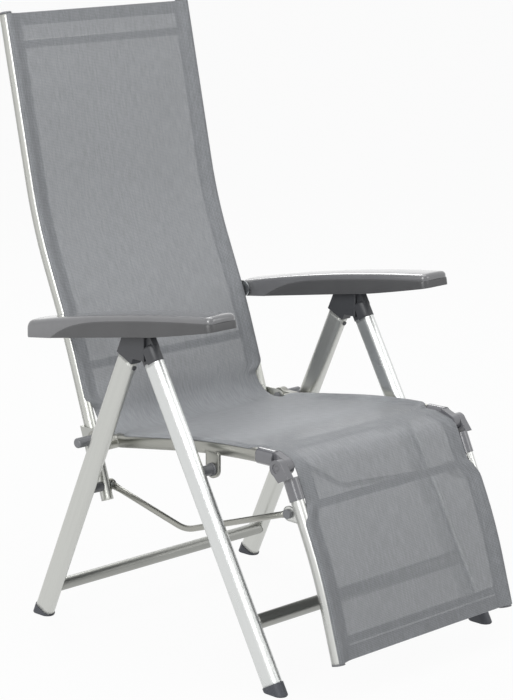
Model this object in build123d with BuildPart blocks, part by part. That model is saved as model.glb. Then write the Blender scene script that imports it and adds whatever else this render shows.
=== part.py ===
from build123d import *
import os
from math import cos, hypot, radians, sin, tan

os.makedirs("parts", exist_ok=True)

# Reclining garden armchair: an A-frame of oval tubes carries a seat, back and footrest with one
# stretched sling. Millimetres, +Z up, the sitter faces -Y. Points below are (y, z) in the side view,
# with y measured from the hub where the front and rear legs cross.

# Where the hub stands behind the origin, which is on the floor under the middle of the chair
hub_y = 12.0

# Legs
leg_x = 290.0
leg_width = 25.0
leg_depth = 44.0
leg_wall = 1.6
hub_height = 638.0
front_reach = 359.5
rear_reach = 295.5
leg_gap = 14.0
sole_thickness = 1.2
front_leg_stop = 78.0
rear_leg_stop = 76.0
front_strip_stop = 57.0
front_strip_depth = 7.0

# Feet
foot_height = 30.0
foot_overrun = 20.0
foot_wall = 1.6
foot_rounding = 3.0

# Crossbars of the legs
front_bar_height = 118.0
front_bar_radius = 14.0
front_bar_forward = 6.0
rear_bar_height = 70.0
rear_bar_radius = 12.5
rear_bar_forward = 8.0
bar_wall = 1.5

# Hub between the legs
knuckle_radius = 12.0
tongue_thickness = 14.4
cheek_gap = 0.3
fork_thickness = 27.0
hub_pin_radius = 5.0
hub_pin_length = 40.0
running_fit = 0.05
plug_length = 28.0
flange_thickness = 2.0
neck_length = 34.0
cheek_front_y = -24.5
cheek_top_drop = 20.0
cheek_low_drop = 67.0
cheek_inner_y = 6.0
fork_edge_rounding = 2.0
closing_angle = 11.5
closing_margin = 0.6
fork_rivet_distance = 87.0
fork_rivet_radius = 4.5
fork_rivet_head = 1.8
fork_rivet_shank_radius = 2.25
fork_rivet_shank = 11.0
fork_slot_above = 68.0
fork_slot_reach = 102.0

# Side rails of the seat, back and footrest
rail_x = 236.0
rail_width = 20.0
rail_depth = 27.0
rail_wall = 1.6
rail_core_top = 2.5
rail_core_rounding = 7.1
channel_inset = 4.2
channel_level = 8.2
channel_radius = 2.6
slit_width = 2.1

# Back
back_foot = (158.0, 253.0)
back_lower_bend = (264.0, 567.0)
back_upper_bend = (352.0, 775.0)
back_top = (440.0, 1184.0)
back_lower_bend_radius = 1500.0
back_upper_bend_radius = 886.0
back_bar_radius = 9.0
back_bar_drop = 3.5
back_top_bar_below = 60.0
back_low_bar_above = 252.0
top_plug_height = 5.0
top_plug_chamfer = 1.6

# Seat
seat_front = (-301.0, 423.6)
seat_bend = (-161.5, 422.2)
seat_rear = (118.0, 380.3)
seat_bend_radius = 1900.0
seat_bar_radius = 9.0
seat_front_bar_y = -252.0
seat_front_bar_z = 419.5
seat_rear_bar_y = 92.0
seat_rear_bar_z = 380.8

# Footrest
footrest_foot = (-463.4, 72.0)
footrest_bend = (-419.4, 223.6)
footrest_top = (-343.5, 390.5)
footrest_bend_radius = 900.0
footrest_bar_radius = 8.0
footrest_bar_drop = 4.5
footrest_upper_bar_below = 49.5
footrest_lower_bar_above = 32.0
bottom_plug_height = 4.0

# Pivots
seat_pivot = (-147.6, 376.0)
recline_pivot = (163.0, 380.0)
lower_pivot = (165.3, 281.0)
knee_pivot = (-324.0, 412.6)
rod_pivot = (-327.5, 323.0)
armrest_pivot_drop = 44.0
armrest_pivot_forward = 7.4
face_gap = 0.3
bolt_radius = 4.0
bolt_head_radius = 8.0
bolt_head_height = 3.7

# Hanger plates under the seat rails, and their bushes on the front legs
hanger_width = 34.0
hanger_thickness = 6.5
seat_bush_radius = 10.0
seat_bush_washer_radius = 12.5
seat_bush_washer = 3.0

# Rear eyes of the seat, back brackets and stop knobs
eye_radius = 17.0
eye_thickness = 16.0
eye_arm_height = 25.0
eye_block_centre = (127.5, 378.9)
eye_block_radius = 13.5
bracket_thickness = 3.0
bracket_below = 42.0
bracket_above = 14.0
bracket_nose_radius = 14.0
bracket_heel = 5.0
recline_pin_radius = 5.0
knob_radius = 10.0
knob_end_x = 310.0
knob_dome = 4.0

# Spacers at the lower end of the back
spacer_radius = 9.5
collar_radius = 7.0
rod_gap_to_rail = 4.0

# Knee fittings between seat and footrest
knee_sleeve_wall = 2.0
knee_sleeve_length = 38.0
knee_boss_radius = 16.0
knee_inner_x = 224.0
knee_split_x = 240.6
knee_outer_x = 256.0
knee_pin_radius = 5.0
knee_recess_radius = 9.0
knee_recess = 1.5
knee_relief = 0.7
knee_neck_inset = 1.5
upper_neck_angle = 60.0
lower_neck_angle = 25.0

# Link rods and tabs
rod_radius = 6.0
rod_bend = (-47.0, 232.0)
rod_bend_radius = 80.0
rod_eye_radius = 11.0
rod_eye_thickness = 4.7
rod_eye_length = 24.0
rod_eye_root_share = 1.3
rod_rivet_head = 3.0
tab_thickness = 4.0
tab_radius = 14.0
tab_below = 15.0
tab_above = 5.0
tab_bolt_radius = 9.0
tab_bolt_head = 6.0

# Armrests
armrest_inner_x = 260.0
armrest_outer_x = 325.0
# Its front and middle points are counted from the hub, its rear points from its pivot
armrest_top_middle_from_hub = (15.0, 16.0)
armrest_top_front_from_hub = (-223.5, 45.4)
armrest_front_low_from_hub = (-228.5, 22.0)
armrest_low_middle_from_hub = (-39.0, -15.0)
armrest_top_rear_from_pivot = (3.0, 13.0)
armrest_low_bend_from_pivot = (-56.0, -6.0)
armrest_rear_low_from_pivot = (12.0, -15.0)
armrest_rear_high_from_pivot = (12.0, -3.0)
armrest_split = 11.0
armrest_wall = 2.5
skirt_inset = 0.8
skirt_wall = 2.5
skirt_front_wall = 7.5
skirt_cavity_height = 176.0
armrest_edge_rounding = 5.0
armrest_bush_radius = 6.0
armrest_stud_radius = 3.0
armrest_boss_radius = 10.5
armrest_boss_reach = 4.7
armrest_stud_head = 3.0
armrest_washer_radius = 17.0
armrest_washer = 3.0
rack_thickness = 4.0
rack_inner_x = 271.0
rack_outer_x = 305.0
rack_rear = 16.0
rack_front = -186.0
rack_drop = 65.0
rack_tip_clearance = 0.6
notch_depth = 4.0
notch_count = 8
pin_path_middle_from_hub = (-88.8, 13.4)
pin_path_end_from_hub = (-171.8, 24.4)

# Sling
sling_thickness = 1.5
bead_radius = 2.3
back_sling_above_foot = 197.0
back_sling_below_top = 8.0
seat_sling_behind_front = 43.0
seat_sling_before_rear = 22.0
footrest_sling_above_foot = 12.0
footrest_sling_below_top = 46.5

# Derived places
side = Plane(origin=(0, hub_y, 0), x_dir=(0, 1, 0), z_dir=(1, 0, 0))
hub = (0.0, hub_height)
front_length = hypot(front_reach, hub_height)
rear_length = hypot(rear_reach, hub_height)
front_down = (-front_reach / front_length, -hub_height / front_length)
rear_down = (rear_reach / rear_length, -hub_height / rear_length)
cheek_front_top = hub_height - cheek_top_drop
cheek_front_low = hub_height - cheek_low_drop
leg_inner = leg_x - leg_width / 2
rail_outer = rail_x + rail_width / 2
rail_inner = rail_x - rail_width / 2
tongue_in = leg_x - tongue_thickness / 2
hanger_in = rail_outer - hanger_thickness
bracket_in = rail_outer
bracket_out = rail_outer + bracket_thickness
eye_in = bracket_out + face_gap
eye_out = eye_in + eye_thickness
rod_outer = rail_inner - rod_gap_to_rail - face_gap
rod_inner = rod_outer - rod_eye_thickness
rod_x = rod_outer - rod_eye_thickness / 2


def on_leg(down, distance, across=0.0):
    # A point in the side view: so far down a leg from the hub, and so far behind the leg's centre line
    return (down[0] * distance - down[1] * across, hub_height + down[1] * distance + down[0] * across)


def place(point, x=0.0):
    # The same point in space
    return (x, point[0] + hub_y, point[1])


def leg_start(down):
    # How far a leg's end stays back from the floor along the leg, so that the shoe keeps its sole
    return max(leg_gap, (sole_thickness + abs(down[0]) * leg_depth / 2) / abs(down[1]))


def leg_plane(down, distance, x=leg_x):
    # A plane across a leg, looking down the leg, with its x direction to the rear
    origin = place(on_leg(down, distance), x)
    return Plane(origin=origin, x_dir=(0, -down[1], down[0]), z_dir=(0, down[0], down[1]))


def rail_plane(start, towards, x):
    # A plane across a rail, with its x direction to the sitter and its y direction outwards
    run = (towards[0] - start[0], towards[1] - start[1])
    return Plane(origin=place(start, x), x_dir=(0, -run[1], run[0]), z_dir=(0, run[0], run[1]))


def bent_line(points, radii):
    # Straight runs between the points, rounded at each inner point
    start = Vector(points[0])
    for number, radius in enumerate(radii):
        before, corner, after = (Vector(point) for point in points[number:number + 3])
        into = (corner - before).normalized()
        away = (after - corner).normalized()
        half_turn = radians(into.get_angle(away)) / 2
        arc_start = corner - into * (radius * tan(half_turn))
        arc_end = corner + away * (radius * tan(half_turn))
        arc_middle = corner + (away - into).normalized() * (radius / cos(half_turn) - radius)
        Line((start.X, start.Y), (arc_start.X, arc_start.Y))
        ThreePointArc((arc_start.X, arc_start.Y), (arc_middle.X, arc_middle.Y), (arc_end.X, arc_end.Y))
        start = arc_end
    Line((start.X, start.Y), points[-1])


def save(piece, name):
    piece.label = name
    export_step(piece, "parts/" + name + ".step")


def save_both(piece, name):
    # Writes the left piece and its mirror image on the right
    save(piece, name + "_left")
    with BuildPart() as other:
        mirror(piece, about=Plane.YZ)
    save(other.part, name + "_right")


def rail_section():
    # Oval rail with a hollow core and the slotted channel that holds the sling's edge
    SlotOverall(rail_depth, rail_width)
    core_low = rail_wall - rail_depth / 2
    with Locations(((core_low + rail_core_top) / 2, 0)):
        RectangleRounded(rail_core_top - core_low, rail_width - 2 * rail_wall, rail_core_rounding,
                         mode=Mode.SUBTRACT)
    with Locations((channel_level, -channel_inset)):
        Circle(channel_radius, mode=Mode.SUBTRACT)
    with Locations((channel_level, -channel_inset - rail_width / 4)):
        Rectangle(slit_width, rail_width / 2, mode=Mode.SUBTRACT)


def sling_section():
    # The sling's cross-section: a sheet from side to side with a bead along each edge
    reach = rail_x - channel_inset
    with Locations((channel_level, 0)):
        Rectangle(sling_thickness, 2 * reach)
    with Locations((channel_level, reach), (channel_level, -reach)):
        Circle(bead_radius)


def disc(x_from, x_to, centre, radius, mode=Mode.ADD):
    # A round piece between two places along X
    with BuildSketch(side.offset(x_from)) as circle:
        with Locations(centre):
            Circle(radius)
    extrude(circle.sketch, amount=x_to - x_from, mode=mode)


def moved(point, by):
    # A point in the side view, moved by so much
    return (point[0] + by[0], point[1] + by[1])


def to_tenth(point):
    # A derived place given to a tenth of a millimetre, as a drawing gives it
    return (round(point[0], 1), round(point[1], 1))


def point_at(points, height):
    # The place on a rail's path, taken as straight runs, at one height
    for low, high in zip(points, points[1:]):
        if height <= high[1] or high == points[-1]:
            along = (height - low[1]) / (high[1] - low[1])
            return (low[0] + along * (high[0] - low[0]), height)


# Paths of the rails in the side view
back_points = (back_foot, back_lower_bend, back_upper_bend, back_top)
back_radii = (back_lower_bend_radius, back_upper_bend_radius)
seat_points = (seat_front, seat_bend, seat_rear)
seat_radii = (seat_bend_radius,)
footrest_points = (footrest_foot, footrest_bend, footrest_top)
footrest_radii = (footrest_bend_radius,)

# The armrest's places
rail_beside_armrest = point_at(back_points, hub_height - armrest_pivot_drop)
armrest_pivot = to_tenth(moved(rail_beside_armrest, (-armrest_pivot_forward, 0)))
armrest_top_rear = moved(armrest_pivot, armrest_top_rear_from_pivot)
armrest_low_bend = moved(armrest_pivot, armrest_low_bend_from_pivot)
armrest_rear_low = moved(armrest_pivot, armrest_rear_low_from_pivot)
armrest_rear_high = moved(armrest_pivot, armrest_rear_high_from_pivot)
armrest_top_middle = moved(hub, armrest_top_middle_from_hub)
armrest_top_front = moved(hub, armrest_top_front_from_hub)
armrest_front_low = moved(hub, armrest_front_low_from_hub)
armrest_low_middle = moved(hub, armrest_low_middle_from_hub)
pin_path_middle = moved(hub, pin_path_middle_from_hub)
pin_path_end = moved(hub, pin_path_end_from_hub)


def follow_path(points, radii, x, section):
    # Sweeps a section along a rail's path
    with BuildLine(side.offset(x)) as path:
        bent_line(points, radii)
    with BuildSketch(rail_plane(points[0], points[1], x)) as profile:
        section()
    sweep(profile.sketch, path=path.wires()[0])


def rail_outline():
    SlotOverall(rail_depth, rail_width)


def leg_section():
    SlotOverall(leg_depth, leg_width)
    SlotOverall(leg_depth - 2 * leg_wall, leg_width - 2 * leg_wall, mode=Mode.SUBTRACT)


# Full outlines of the rails, used to fit other pieces against them
with BuildPart() as back_outline:
    follow_path(back_points, back_radii, rail_x, rail_outline)
with BuildPart() as seat_outline:
    follow_path(seat_points, seat_radii, rail_x, rail_outline)
with BuildPart() as footrest_outline:
    follow_path(footrest_points, footrest_radii, rail_x, rail_outline)


def crossbar(centre, radius, outline):
    # A tube between the two rails, its ends fitted to their sides
    disc(-rail_x, rail_x, centre, radius)
    disc(-rail_x, rail_x, centre, radius - bar_wall, Mode.SUBTRACT)
    add(outline, mode=Mode.SUBTRACT)
    add(mirror(outline, about=Plane.YZ, mode=Mode.PRIVATE), mode=Mode.SUBTRACT)


def leg_outline(down, length, mode):
    # Both legs as full ovals
    for x in (leg_x, -leg_x):
        with BuildSketch(leg_plane(down, 0, x)) as oval:
            SlotOverall(leg_depth, leg_width)
        extrude(oval.sketch, amount=length, mode=mode)


def leg_bar(down, length, height, forward, radius):
    # A tube between the two legs, its ends fitted to them
    centre = on_leg(down, (hub_height - height) / -down[1], -forward)
    disc(-leg_x, leg_x, centre, radius)
    disc(-leg_x, leg_x, centre, radius - bar_wall, Mode.SUBTRACT)
    leg_outline(down, length, Mode.SUBTRACT)


# Front legs: oval tubes whose front edge runs on past the hub piece as a narrow strip
with BuildPart() as front_leg:
    with BuildSketch(leg_plane(front_down, front_leg_stop)):
        leg_section()
    extrude(amount=front_length - leg_start(front_down) - front_leg_stop)
    with BuildSketch(leg_plane(front_down, front_strip_stop)):
        leg_section()
        with Locations(((front_strip_depth - leg_depth) / 2, 0)):
            Rectangle(front_strip_depth, leg_width, mode=Mode.INTERSECT)
    extrude(amount=front_leg_stop - front_strip_stop)
save_both(front_leg.part, "front_leg")

with BuildPart() as front_crossbar:
    leg_bar(front_down, front_length, front_bar_height, front_bar_forward, front_bar_radius)
save(front_crossbar.part, "front_crossbar")


def foot(down, length):
    # A shoe over the leg's end, flat on the floor
    top = leg_plane(down, length - foot_height)
    with BuildSketch(top) as outside:
        SlotOverall(leg_depth + 2 * foot_wall, leg_width + 2 * foot_wall)
    extrude(outside.sketch, amount=foot_height + foot_overrun)
    with BuildSketch(top) as socket:
        SlotOverall(leg_depth, leg_width)
    extrude(socket.sketch, amount=foot_height - leg_start(down), mode=Mode.SUBTRACT)
    split(bisect_by=Plane.XY, keep=Keep.TOP)


with BuildPart() as front_foot:
    foot(front_down, front_length)
    fillet(front_foot.edges().group_by(Axis.Z)[0], foot_rounding)
save_both(front_foot.part, "front_foot")

# Hub: the front leg's tongue, with the pin, turns between the cheeks of the rear leg's fork
with BuildPart() as front_hub_tongue:
    with BuildSketch(side.offset(tongue_in)):
        with Locations(hub):
            Circle(knuckle_radius)
        strip_edge = front_strip_depth - leg_depth / 2
        tongue_corners = [(0, knuckle_radius), (neck_length, leg_depth / 2), (front_leg_stop, leg_depth / 2),
                          (front_leg_stop, strip_edge), (front_strip_stop, strip_edge),
                          (front_strip_stop, -leg_depth / 2), (neck_length, -leg_depth / 2),
                          (0, -knuckle_radius)]
        Polygon(*[on_leg(front_down, *corner) for corner in tongue_corners], align=None)
    extrude(amount=tongue_thickness)
    with BuildSketch(leg_plane(front_down, front_leg_stop - flange_thickness)):
        SlotOverall(leg_depth, leg_width)
        with Locations((front_strip_depth / 2, 0)):
            Rectangle(leg_depth - front_strip_depth, leg_width, mode=Mode.INTERSECT)
    extrude(amount=flange_thickness)
    with BuildSketch(leg_plane(front_down, front_leg_stop)):
        SlotOverall(leg_depth - 2 * leg_wall, leg_width - 2 * leg_wall)
    extrude(amount=plug_length)
    disc(leg_x - hub_pin_length / 2, leg_x + hub_pin_length / 2, hub, hub_pin_radius)
save_both(front_hub_tongue.part, "front_hub_tongue")

# Bush between the front leg and the seat's hanger plate, with its bolt
with BuildPart() as seat_bush:
    disc(rail_outer + face_gap, leg_inner, seat_pivot, seat_bush_radius)
    disc(rail_outer + face_gap, rail_outer + face_gap + seat_bush_washer, seat_pivot, seat_bush_washer_radius)
    disc(hanger_in - face_gap, rail_outer + face_gap, seat_pivot, bolt_radius)
    disc(hanger_in - face_gap - bolt_head_height, hanger_in - face_gap, seat_pivot, bolt_head_radius)
save_both(seat_bush.part, "seat_bush")

# Rear legs
with BuildPart() as rear_leg:
    with BuildSketch(leg_plane(rear_down, rear_leg_stop)):
        leg_section()
    extrude(amount=rear_length - leg_start(rear_down) - rear_leg_stop)
    rivet_point = on_leg(rear_down, fork_rivet_distance, -leg_depth / 2 - fork_rivet_head)
    rivet_place = Plane(origin=place(rivet_point, leg_x), z_dir=(0, -rear_down[1], rear_down[0]))
    with BuildSketch(rivet_place):
        Circle(fork_rivet_shank_radius)
    extrude(amount=fork_rivet_shank, mode=Mode.SUBTRACT)
save_both(rear_leg.part, "rear_leg")

with BuildPart() as rear_crossbar:
    leg_bar(rear_down, rear_length, rear_bar_height, rear_bar_forward, rear_bar_radius)
save(rear_crossbar.part, "rear_crossbar")

with BuildPart() as rear_foot:
    foot(rear_down, rear_length)
    fillet(rear_foot.edges().group_by(Axis.Z)[0], foot_rounding)
save_both(rear_foot.part, "rear_foot")

with BuildPart() as rear_hub_fork:
    with BuildSketch(side.offset(leg_x - fork_thickness / 2)):
        with Locations(hub):
            Circle(knuckle_radius)
        fork_corners = [(0, knuckle_radius), (neck_length, leg_depth / 2), (rear_leg_stop, leg_depth / 2),
                        (rear_leg_stop, -leg_depth / 2)]
        cheek_corners = [(cheek_inner_y, cheek_front_low), (cheek_front_y, cheek_front_low),
                         (cheek_front_y, cheek_front_top), on_leg(front_down, 0, -knuckle_radius)]
        Polygon(*[on_leg(rear_down, *corner) for corner in fork_corners], *cheek_corners, align=None)
    extrude(amount=fork_thickness)
    fillet(rear_hub_fork.faces().filter_by(Axis.X).edges(), fork_edge_rounding)
    # The slot in the fork leaves room for the tongue until the legs have closed by the full angle
    shut_down = Vector(*front_down).rotate(Axis.Z, closing_angle)
    slot_edge = leg_depth / 2 + closing_margin
    slot_corners = [(-fork_slot_above, slot_edge), (fork_slot_reach, slot_edge),
                    (fork_slot_reach, -fork_slot_reach), (-fork_slot_above, -fork_slot_reach)]
    with BuildSketch(side.offset(tongue_in - cheek_gap)):
        Polygon(*[on_leg((shut_down.X, shut_down.Y), *corner) for corner in slot_corners], align=None)
    extrude(amount=tongue_thickness + 2 * cheek_gap, mode=Mode.SUBTRACT)
    with BuildSketch(leg_plane(rear_down, rear_leg_stop)):
        SlotOverall(leg_depth - 2 * leg_wall, leg_width - 2 * leg_wall)
    extrude(amount=plug_length)
    with BuildSketch(rivet_place):
        Circle(fork_rivet_radius)
    extrude(amount=fork_rivet_head)
    with BuildSketch(rivet_place):
        Circle(fork_rivet_shank_radius)
    extrude(amount=fork_rivet_shank)
    hub_bore = hub_pin_radius + running_fit
    disc(leg_x - fork_thickness / 2, leg_x + fork_thickness / 2, hub, hub_bore, Mode.SUBTRACT)
save_both(rear_hub_fork.part, "rear_hub_fork")

# Spacer on the rear leg that carries the lower end of the back
with BuildPart() as back_spacer:
    disc(rail_outer + face_gap, leg_inner, lower_pivot, spacer_radius)
save_both(back_spacer.part, "back_spacer")

# Seat rails, each with its hanger plate and rear eye welded on
with BuildPart() as seat_rail:
    follow_path(seat_points, seat_radii, rail_x, rail_section)
    plate_top = seat_bend[1] - rail_depth / 2
    with BuildSketch(side.offset(hanger_in)):
        with Locations((seat_pivot[0], (seat_pivot[1] + plate_top) / 2)):
            Rectangle(hanger_width, plate_top - seat_pivot[1])
        with Locations(seat_pivot):
            Circle(hanger_width / 2)
            Circle(bolt_radius + running_fit, mode=Mode.SUBTRACT)
    extrude(amount=hanger_thickness)
    disc(rail_inner, eye_out, eye_block_centre, eye_block_radius)
    arm_middle = ((eye_block_centre[0] + recline_pivot[0]) / 2, (eye_block_centre[1] + recline_pivot[1]) / 2)
    with BuildSketch(side.offset(eye_in)):
        with Locations(arm_middle):
            Rectangle(recline_pivot[0] - eye_block_centre[0], eye_arm_height)
        with Locations(recline_pivot):
            Circle(eye_radius)
            Circle(recline_pin_radius + running_fit, mode=Mode.SUBTRACT)
    extrude(amount=eye_thickness)
save_both(seat_rail.part, "seat_rail")

with BuildPart() as seat_front_bar:
    crossbar((seat_front_bar_y, seat_front_bar_z), seat_bar_radius, seat_outline.part)
save(seat_front_bar.part, "seat_front_crossbar")

with BuildPart() as seat_rear_bar:
    crossbar((seat_rear_bar_y, seat_rear_bar_z), seat_bar_radius, seat_outline.part)
save(seat_rear_bar.part, "seat_rear_crossbar")


def knee_sleeve(start, towards, outline):
    # A sleeve over the end of a rail, closed at the end
    end = rail_plane(start, towards, rail_x)
    with BuildSketch(end.offset(-2 * knee_sleeve_wall)) as oval:
        SlotOverall(rail_depth + 2 * knee_sleeve_wall, rail_width + 2 * knee_sleeve_wall)
    extrude(oval.sketch, amount=knee_sleeve_length + 2 * knee_sleeve_wall)
    add(outline, mode=Mode.SUBTRACT)


def neck(points, x_from, x_to):
    # The web from a sleeve's closed end to its knuckle
    with BuildSketch(side.offset(x_from)) as web:
        Polygon(*points, align=None)
    extrude(web.sketch, amount=x_to - x_from)


def beside(start, towards, along, up):
    # A point in the side view beside the end of a rail
    run = Vector(towards[0] - start[0], towards[1] - start[1]).normalized()
    return (start[0] + run.X * along - run.Y * up, start[1] + run.Y * along + run.X * up)


neck_half = rail_depth / 2 + knee_sleeve_wall - knee_neck_inset
seat_top_corner = beside(seat_front, seat_bend, -knee_sleeve_wall, neck_half)
seat_low_corner = beside(seat_front, seat_bend, -knee_sleeve_wall, -neck_half)
foot_front_corner = beside(footrest_top, footrest_bend, -knee_sleeve_wall, -neck_half)
foot_rear_corner = beside(footrest_top, footrest_bend, -knee_sleeve_wall, neck_half)


def on_knee(angle):
    # A point on the knuckle's rim, at an angle above the forward direction
    return (knee_pivot[0] - knee_boss_radius * cos(radians(angle)),
            knee_pivot[1] + knee_boss_radius * sin(radians(angle)))


# Upper knee fitting: sleeve on the seat rail, inner knuckle and the pin
with BuildPart() as upper_knee:
    knee_sleeve(seat_front, seat_bend, seat_outline.part)
    neck([seat_top_corner, on_knee(upper_neck_angle), on_knee(-90), seat_low_corner],
         knee_inner_x, knee_split_x)
    disc(knee_inner_x, knee_split_x, knee_pivot, knee_boss_radius)
    disc(knee_split_x, knee_outer_x + running_fit, knee_pivot, knee_boss_radius + knee_relief, Mode.SUBTRACT)
    disc(knee_split_x, knee_outer_x - knee_recess, knee_pivot, knee_pin_radius)
save_both(upper_knee.part, "upper_knee")

# Lower knee fitting: sleeve on the footrest rail and outer knuckle with a round recess
with BuildPart() as lower_knee:
    knee_sleeve(footrest_top, footrest_bend, footrest_outline.part)
    neck([foot_front_corner, on_knee(lower_neck_angle), on_knee(lower_neck_angle + 180), foot_rear_corner],
         knee_split_x + face_gap, knee_outer_x)
    disc(knee_split_x + face_gap, knee_outer_x, knee_pivot, knee_boss_radius)
    disc(knee_inner_x, knee_split_x + face_gap, knee_pivot, knee_boss_radius + knee_relief, Mode.SUBTRACT)
    disc(knee_split_x, knee_outer_x, knee_pivot, knee_pin_radius + running_fit, Mode.SUBTRACT)
    disc(knee_outer_x - knee_recess, knee_outer_x, knee_pivot, knee_recess_radius, Mode.SUBTRACT)
save_both(lower_knee.part, "lower_knee")


def sling(points, radii):
    with BuildLine(side) as path:
        bent_line(points, radii)
    with BuildSketch(rail_plane(points[0], points[1], 0)) as sheet:
        sling_section()
    sweep(sheet.sketch, path=path.wires()[0])


with BuildPart() as seat_sling:
    sling(seat_points, seat_radii)
    seat_sling_front = moved(seat_front, (seat_sling_behind_front, 0))
    seat_sling_rear = moved(seat_rear, (-seat_sling_before_rear, 0))
    split(bisect_by=Plane(origin=place(seat_sling_front), z_dir=(0, 1, 0)), keep=Keep.TOP)
    split(bisect_by=Plane(origin=place(seat_sling_rear), z_dir=(0, 1, 0)), keep=Keep.BOTTOM)
save(seat_sling.part, "seat_sling")

# Back rails
with BuildPart() as back_rail:
    follow_path(back_points, back_radii, rail_x, rail_section)
    disc(rail_inner, rail_outer, lower_pivot, bolt_radius, Mode.SUBTRACT)
    disc(rail_x, rail_outer, armrest_pivot, armrest_stud_radius, Mode.SUBTRACT)
save_both(back_rail.part, "back_rail")


def behind(points, height, drop):
    # A place so far behind a rail's path at one height
    centre = point_at(points, height)
    upper = point_at(points, height + 1)
    run = Vector(upper[0] - centre[0], 1).normalized()
    return (centre[0] + run.Y * drop, centre[1] - run.X * drop)


with BuildPart() as back_top_bar:
    top_bar_height = back_top[1] - back_top_bar_below
    crossbar(behind(back_points, top_bar_height, back_bar_drop), back_bar_radius, back_outline.part)
save(back_top_bar.part, "back_top_crossbar")

with BuildPart() as back_low_bar:
    low_bar_height = back_foot[1] + back_low_bar_above
    crossbar(behind(back_points, low_bar_height, back_bar_drop), back_bar_radius, back_outline.part)
save(back_low_bar.part, "back_low_crossbar")

# Bracket around each back rail, reaching forward to the pivot
with BuildPart() as back_bracket:
    rail_low = point_at(back_points, recline_pivot[1] - bracket_below)
    rail_high = point_at(back_points, recline_pivot[1] + bracket_above)
    wrap = rail_depth / 2 + bracket_thickness
    with BuildSketch(side.offset(bracket_in)):
        with Locations(recline_pivot):
            Circle(bracket_nose_radius)
        Polygon((recline_pivot[0] - bracket_heel, recline_pivot[1] - bracket_nose_radius), rail_low,
                (rail_low[0] + wrap, rail_low[1]), (rail_high[0] + wrap, rail_high[1]), rail_high,
                (recline_pivot[0], recline_pivot[1] + bracket_nose_radius), align=None)
    extrude(amount=bracket_thickness)
    with BuildSketch(side.offset(rail_inner)):
        Polygon(rail_low, (rail_low[0] + wrap, rail_low[1]), (rail_high[0] + wrap, rail_high[1]),
                rail_high, align=None)
    extrude(amount=rail_width)
    add(back_outline.part, mode=Mode.SUBTRACT)
    disc(bracket_in, bracket_out, recline_pivot, recline_pin_radius, Mode.SUBTRACT)
save_both(back_bracket.part, "back_bracket")

# Stop knob: the pivot pin of the back runs on outwards behind the rear leg
with BuildPart() as stop_knob:
    disc(eye_out + face_gap, knob_end_x, recline_pivot, knob_radius)
    fillet(stop_knob.faces().sort_by(Axis.X)[-1].edges(), knob_dome)
    disc(bracket_in, eye_out + face_gap, recline_pivot, recline_pin_radius)
    disc(bracket_in - bolt_head_height, bracket_in, recline_pivot, bolt_head_radius)
save_both(stop_knob.part, "stop_knob")

# Bolt through the lower end of the back, which also carries the link rod
with BuildPart() as lower_bolt:
    disc(rod_inner - face_gap - bolt_head_height, rod_inner - face_gap, lower_pivot, bolt_head_radius)
    disc(rod_inner - face_gap, rail_outer, lower_pivot, bolt_radius)
    disc(rod_outer + face_gap, rail_inner, lower_pivot, collar_radius)
save_both(lower_bolt.part, "lower_bolt")


def end_plug(start, towards, height):
    # A plug in a rail's end: its head has the rail's outline
    end = rail_plane(start, towards, rail_x)
    with BuildSketch(end.offset(-height)) as oval:
        SlotOverall(rail_depth, rail_width)
    extrude(oval.sketch, amount=height)


with BuildPart() as back_top_plug:
    end_plug(back_top, back_upper_bend, top_plug_height)
    chamfer(back_top_plug.faces().sort_by(Axis.Z)[-1].edges(), top_plug_chamfer)
save_both(back_top_plug.part, "back_top_plug")

with BuildPart() as back_sling:
    sling(back_points, back_radii)
    split(bisect_by=Plane(origin=(0, 0, back_foot[1] + back_sling_above_foot)), keep=Keep.TOP)
    split(bisect_by=Plane(origin=(0, 0, back_top[1] - back_sling_below_top)), keep=Keep.BOTTOM)
save(back_sling.part, "back_sling")

# Footrest rails, each with the tab for the link rod welded on
with BuildPart() as footrest_rail:
    follow_path(footrest_points, footrest_radii, rail_x, rail_section)
    tab_rail_low = point_at(footrest_points, rod_pivot[1] - tab_below)
    tab_rail_high = point_at(footrest_points, rod_pivot[1] + tab_above)
    with BuildSketch(side.offset(rail_inner - tab_thickness)):
        Polygon(tab_rail_low, (rod_pivot[0], rod_pivot[1] - tab_radius),
                (rod_pivot[0], rod_pivot[1] + tab_radius), tab_rail_high, align=None)
        with Locations(rod_pivot):
            Circle(tab_radius)
            Circle(bolt_radius, mode=Mode.SUBTRACT)
    extrude(amount=tab_thickness)
save_both(footrest_rail.part, "footrest_rail")

with BuildPart() as footrest_upper_bar:
    upper_bar = behind(footrest_points, footrest_top[1] - footrest_upper_bar_below, footrest_bar_drop)
    crossbar(upper_bar, footrest_bar_radius, footrest_outline.part)
save(footrest_upper_bar.part, "footrest_upper_crossbar")

with BuildPart() as footrest_lower_bar:
    lower_bar = behind(footrest_points, footrest_foot[1] + footrest_lower_bar_above, footrest_bar_drop)
    crossbar(lower_bar, footrest_bar_radius, footrest_outline.part)
save(footrest_lower_bar.part, "footrest_lower_crossbar")

with BuildPart() as tab_bolt:
    disc(rail_inner - tab_thickness, rail_inner, rod_pivot, bolt_radius)
    disc(rail_inner, rail_inner + tab_bolt_head, rod_pivot, tab_bolt_radius)
save_both(tab_bolt.part, "tab_bolt")

with BuildPart() as footrest_plug:
    end_plug(footrest_foot, footrest_bend, bottom_plug_height)
save_both(footrest_plug.part, "footrest_plug")

with BuildPart() as footrest_sling:
    sling(footrest_points, footrest_radii)
    split(bisect_by=Plane(origin=(0, 0, footrest_foot[1] + footrest_sling_above_foot)), keep=Keep.TOP)
    split(bisect_by=Plane(origin=(0, 0, footrest_top[1] - footrest_sling_below_top)), keep=Keep.BOTTOM)
save(footrest_sling.part, "footrest_sling")

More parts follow.
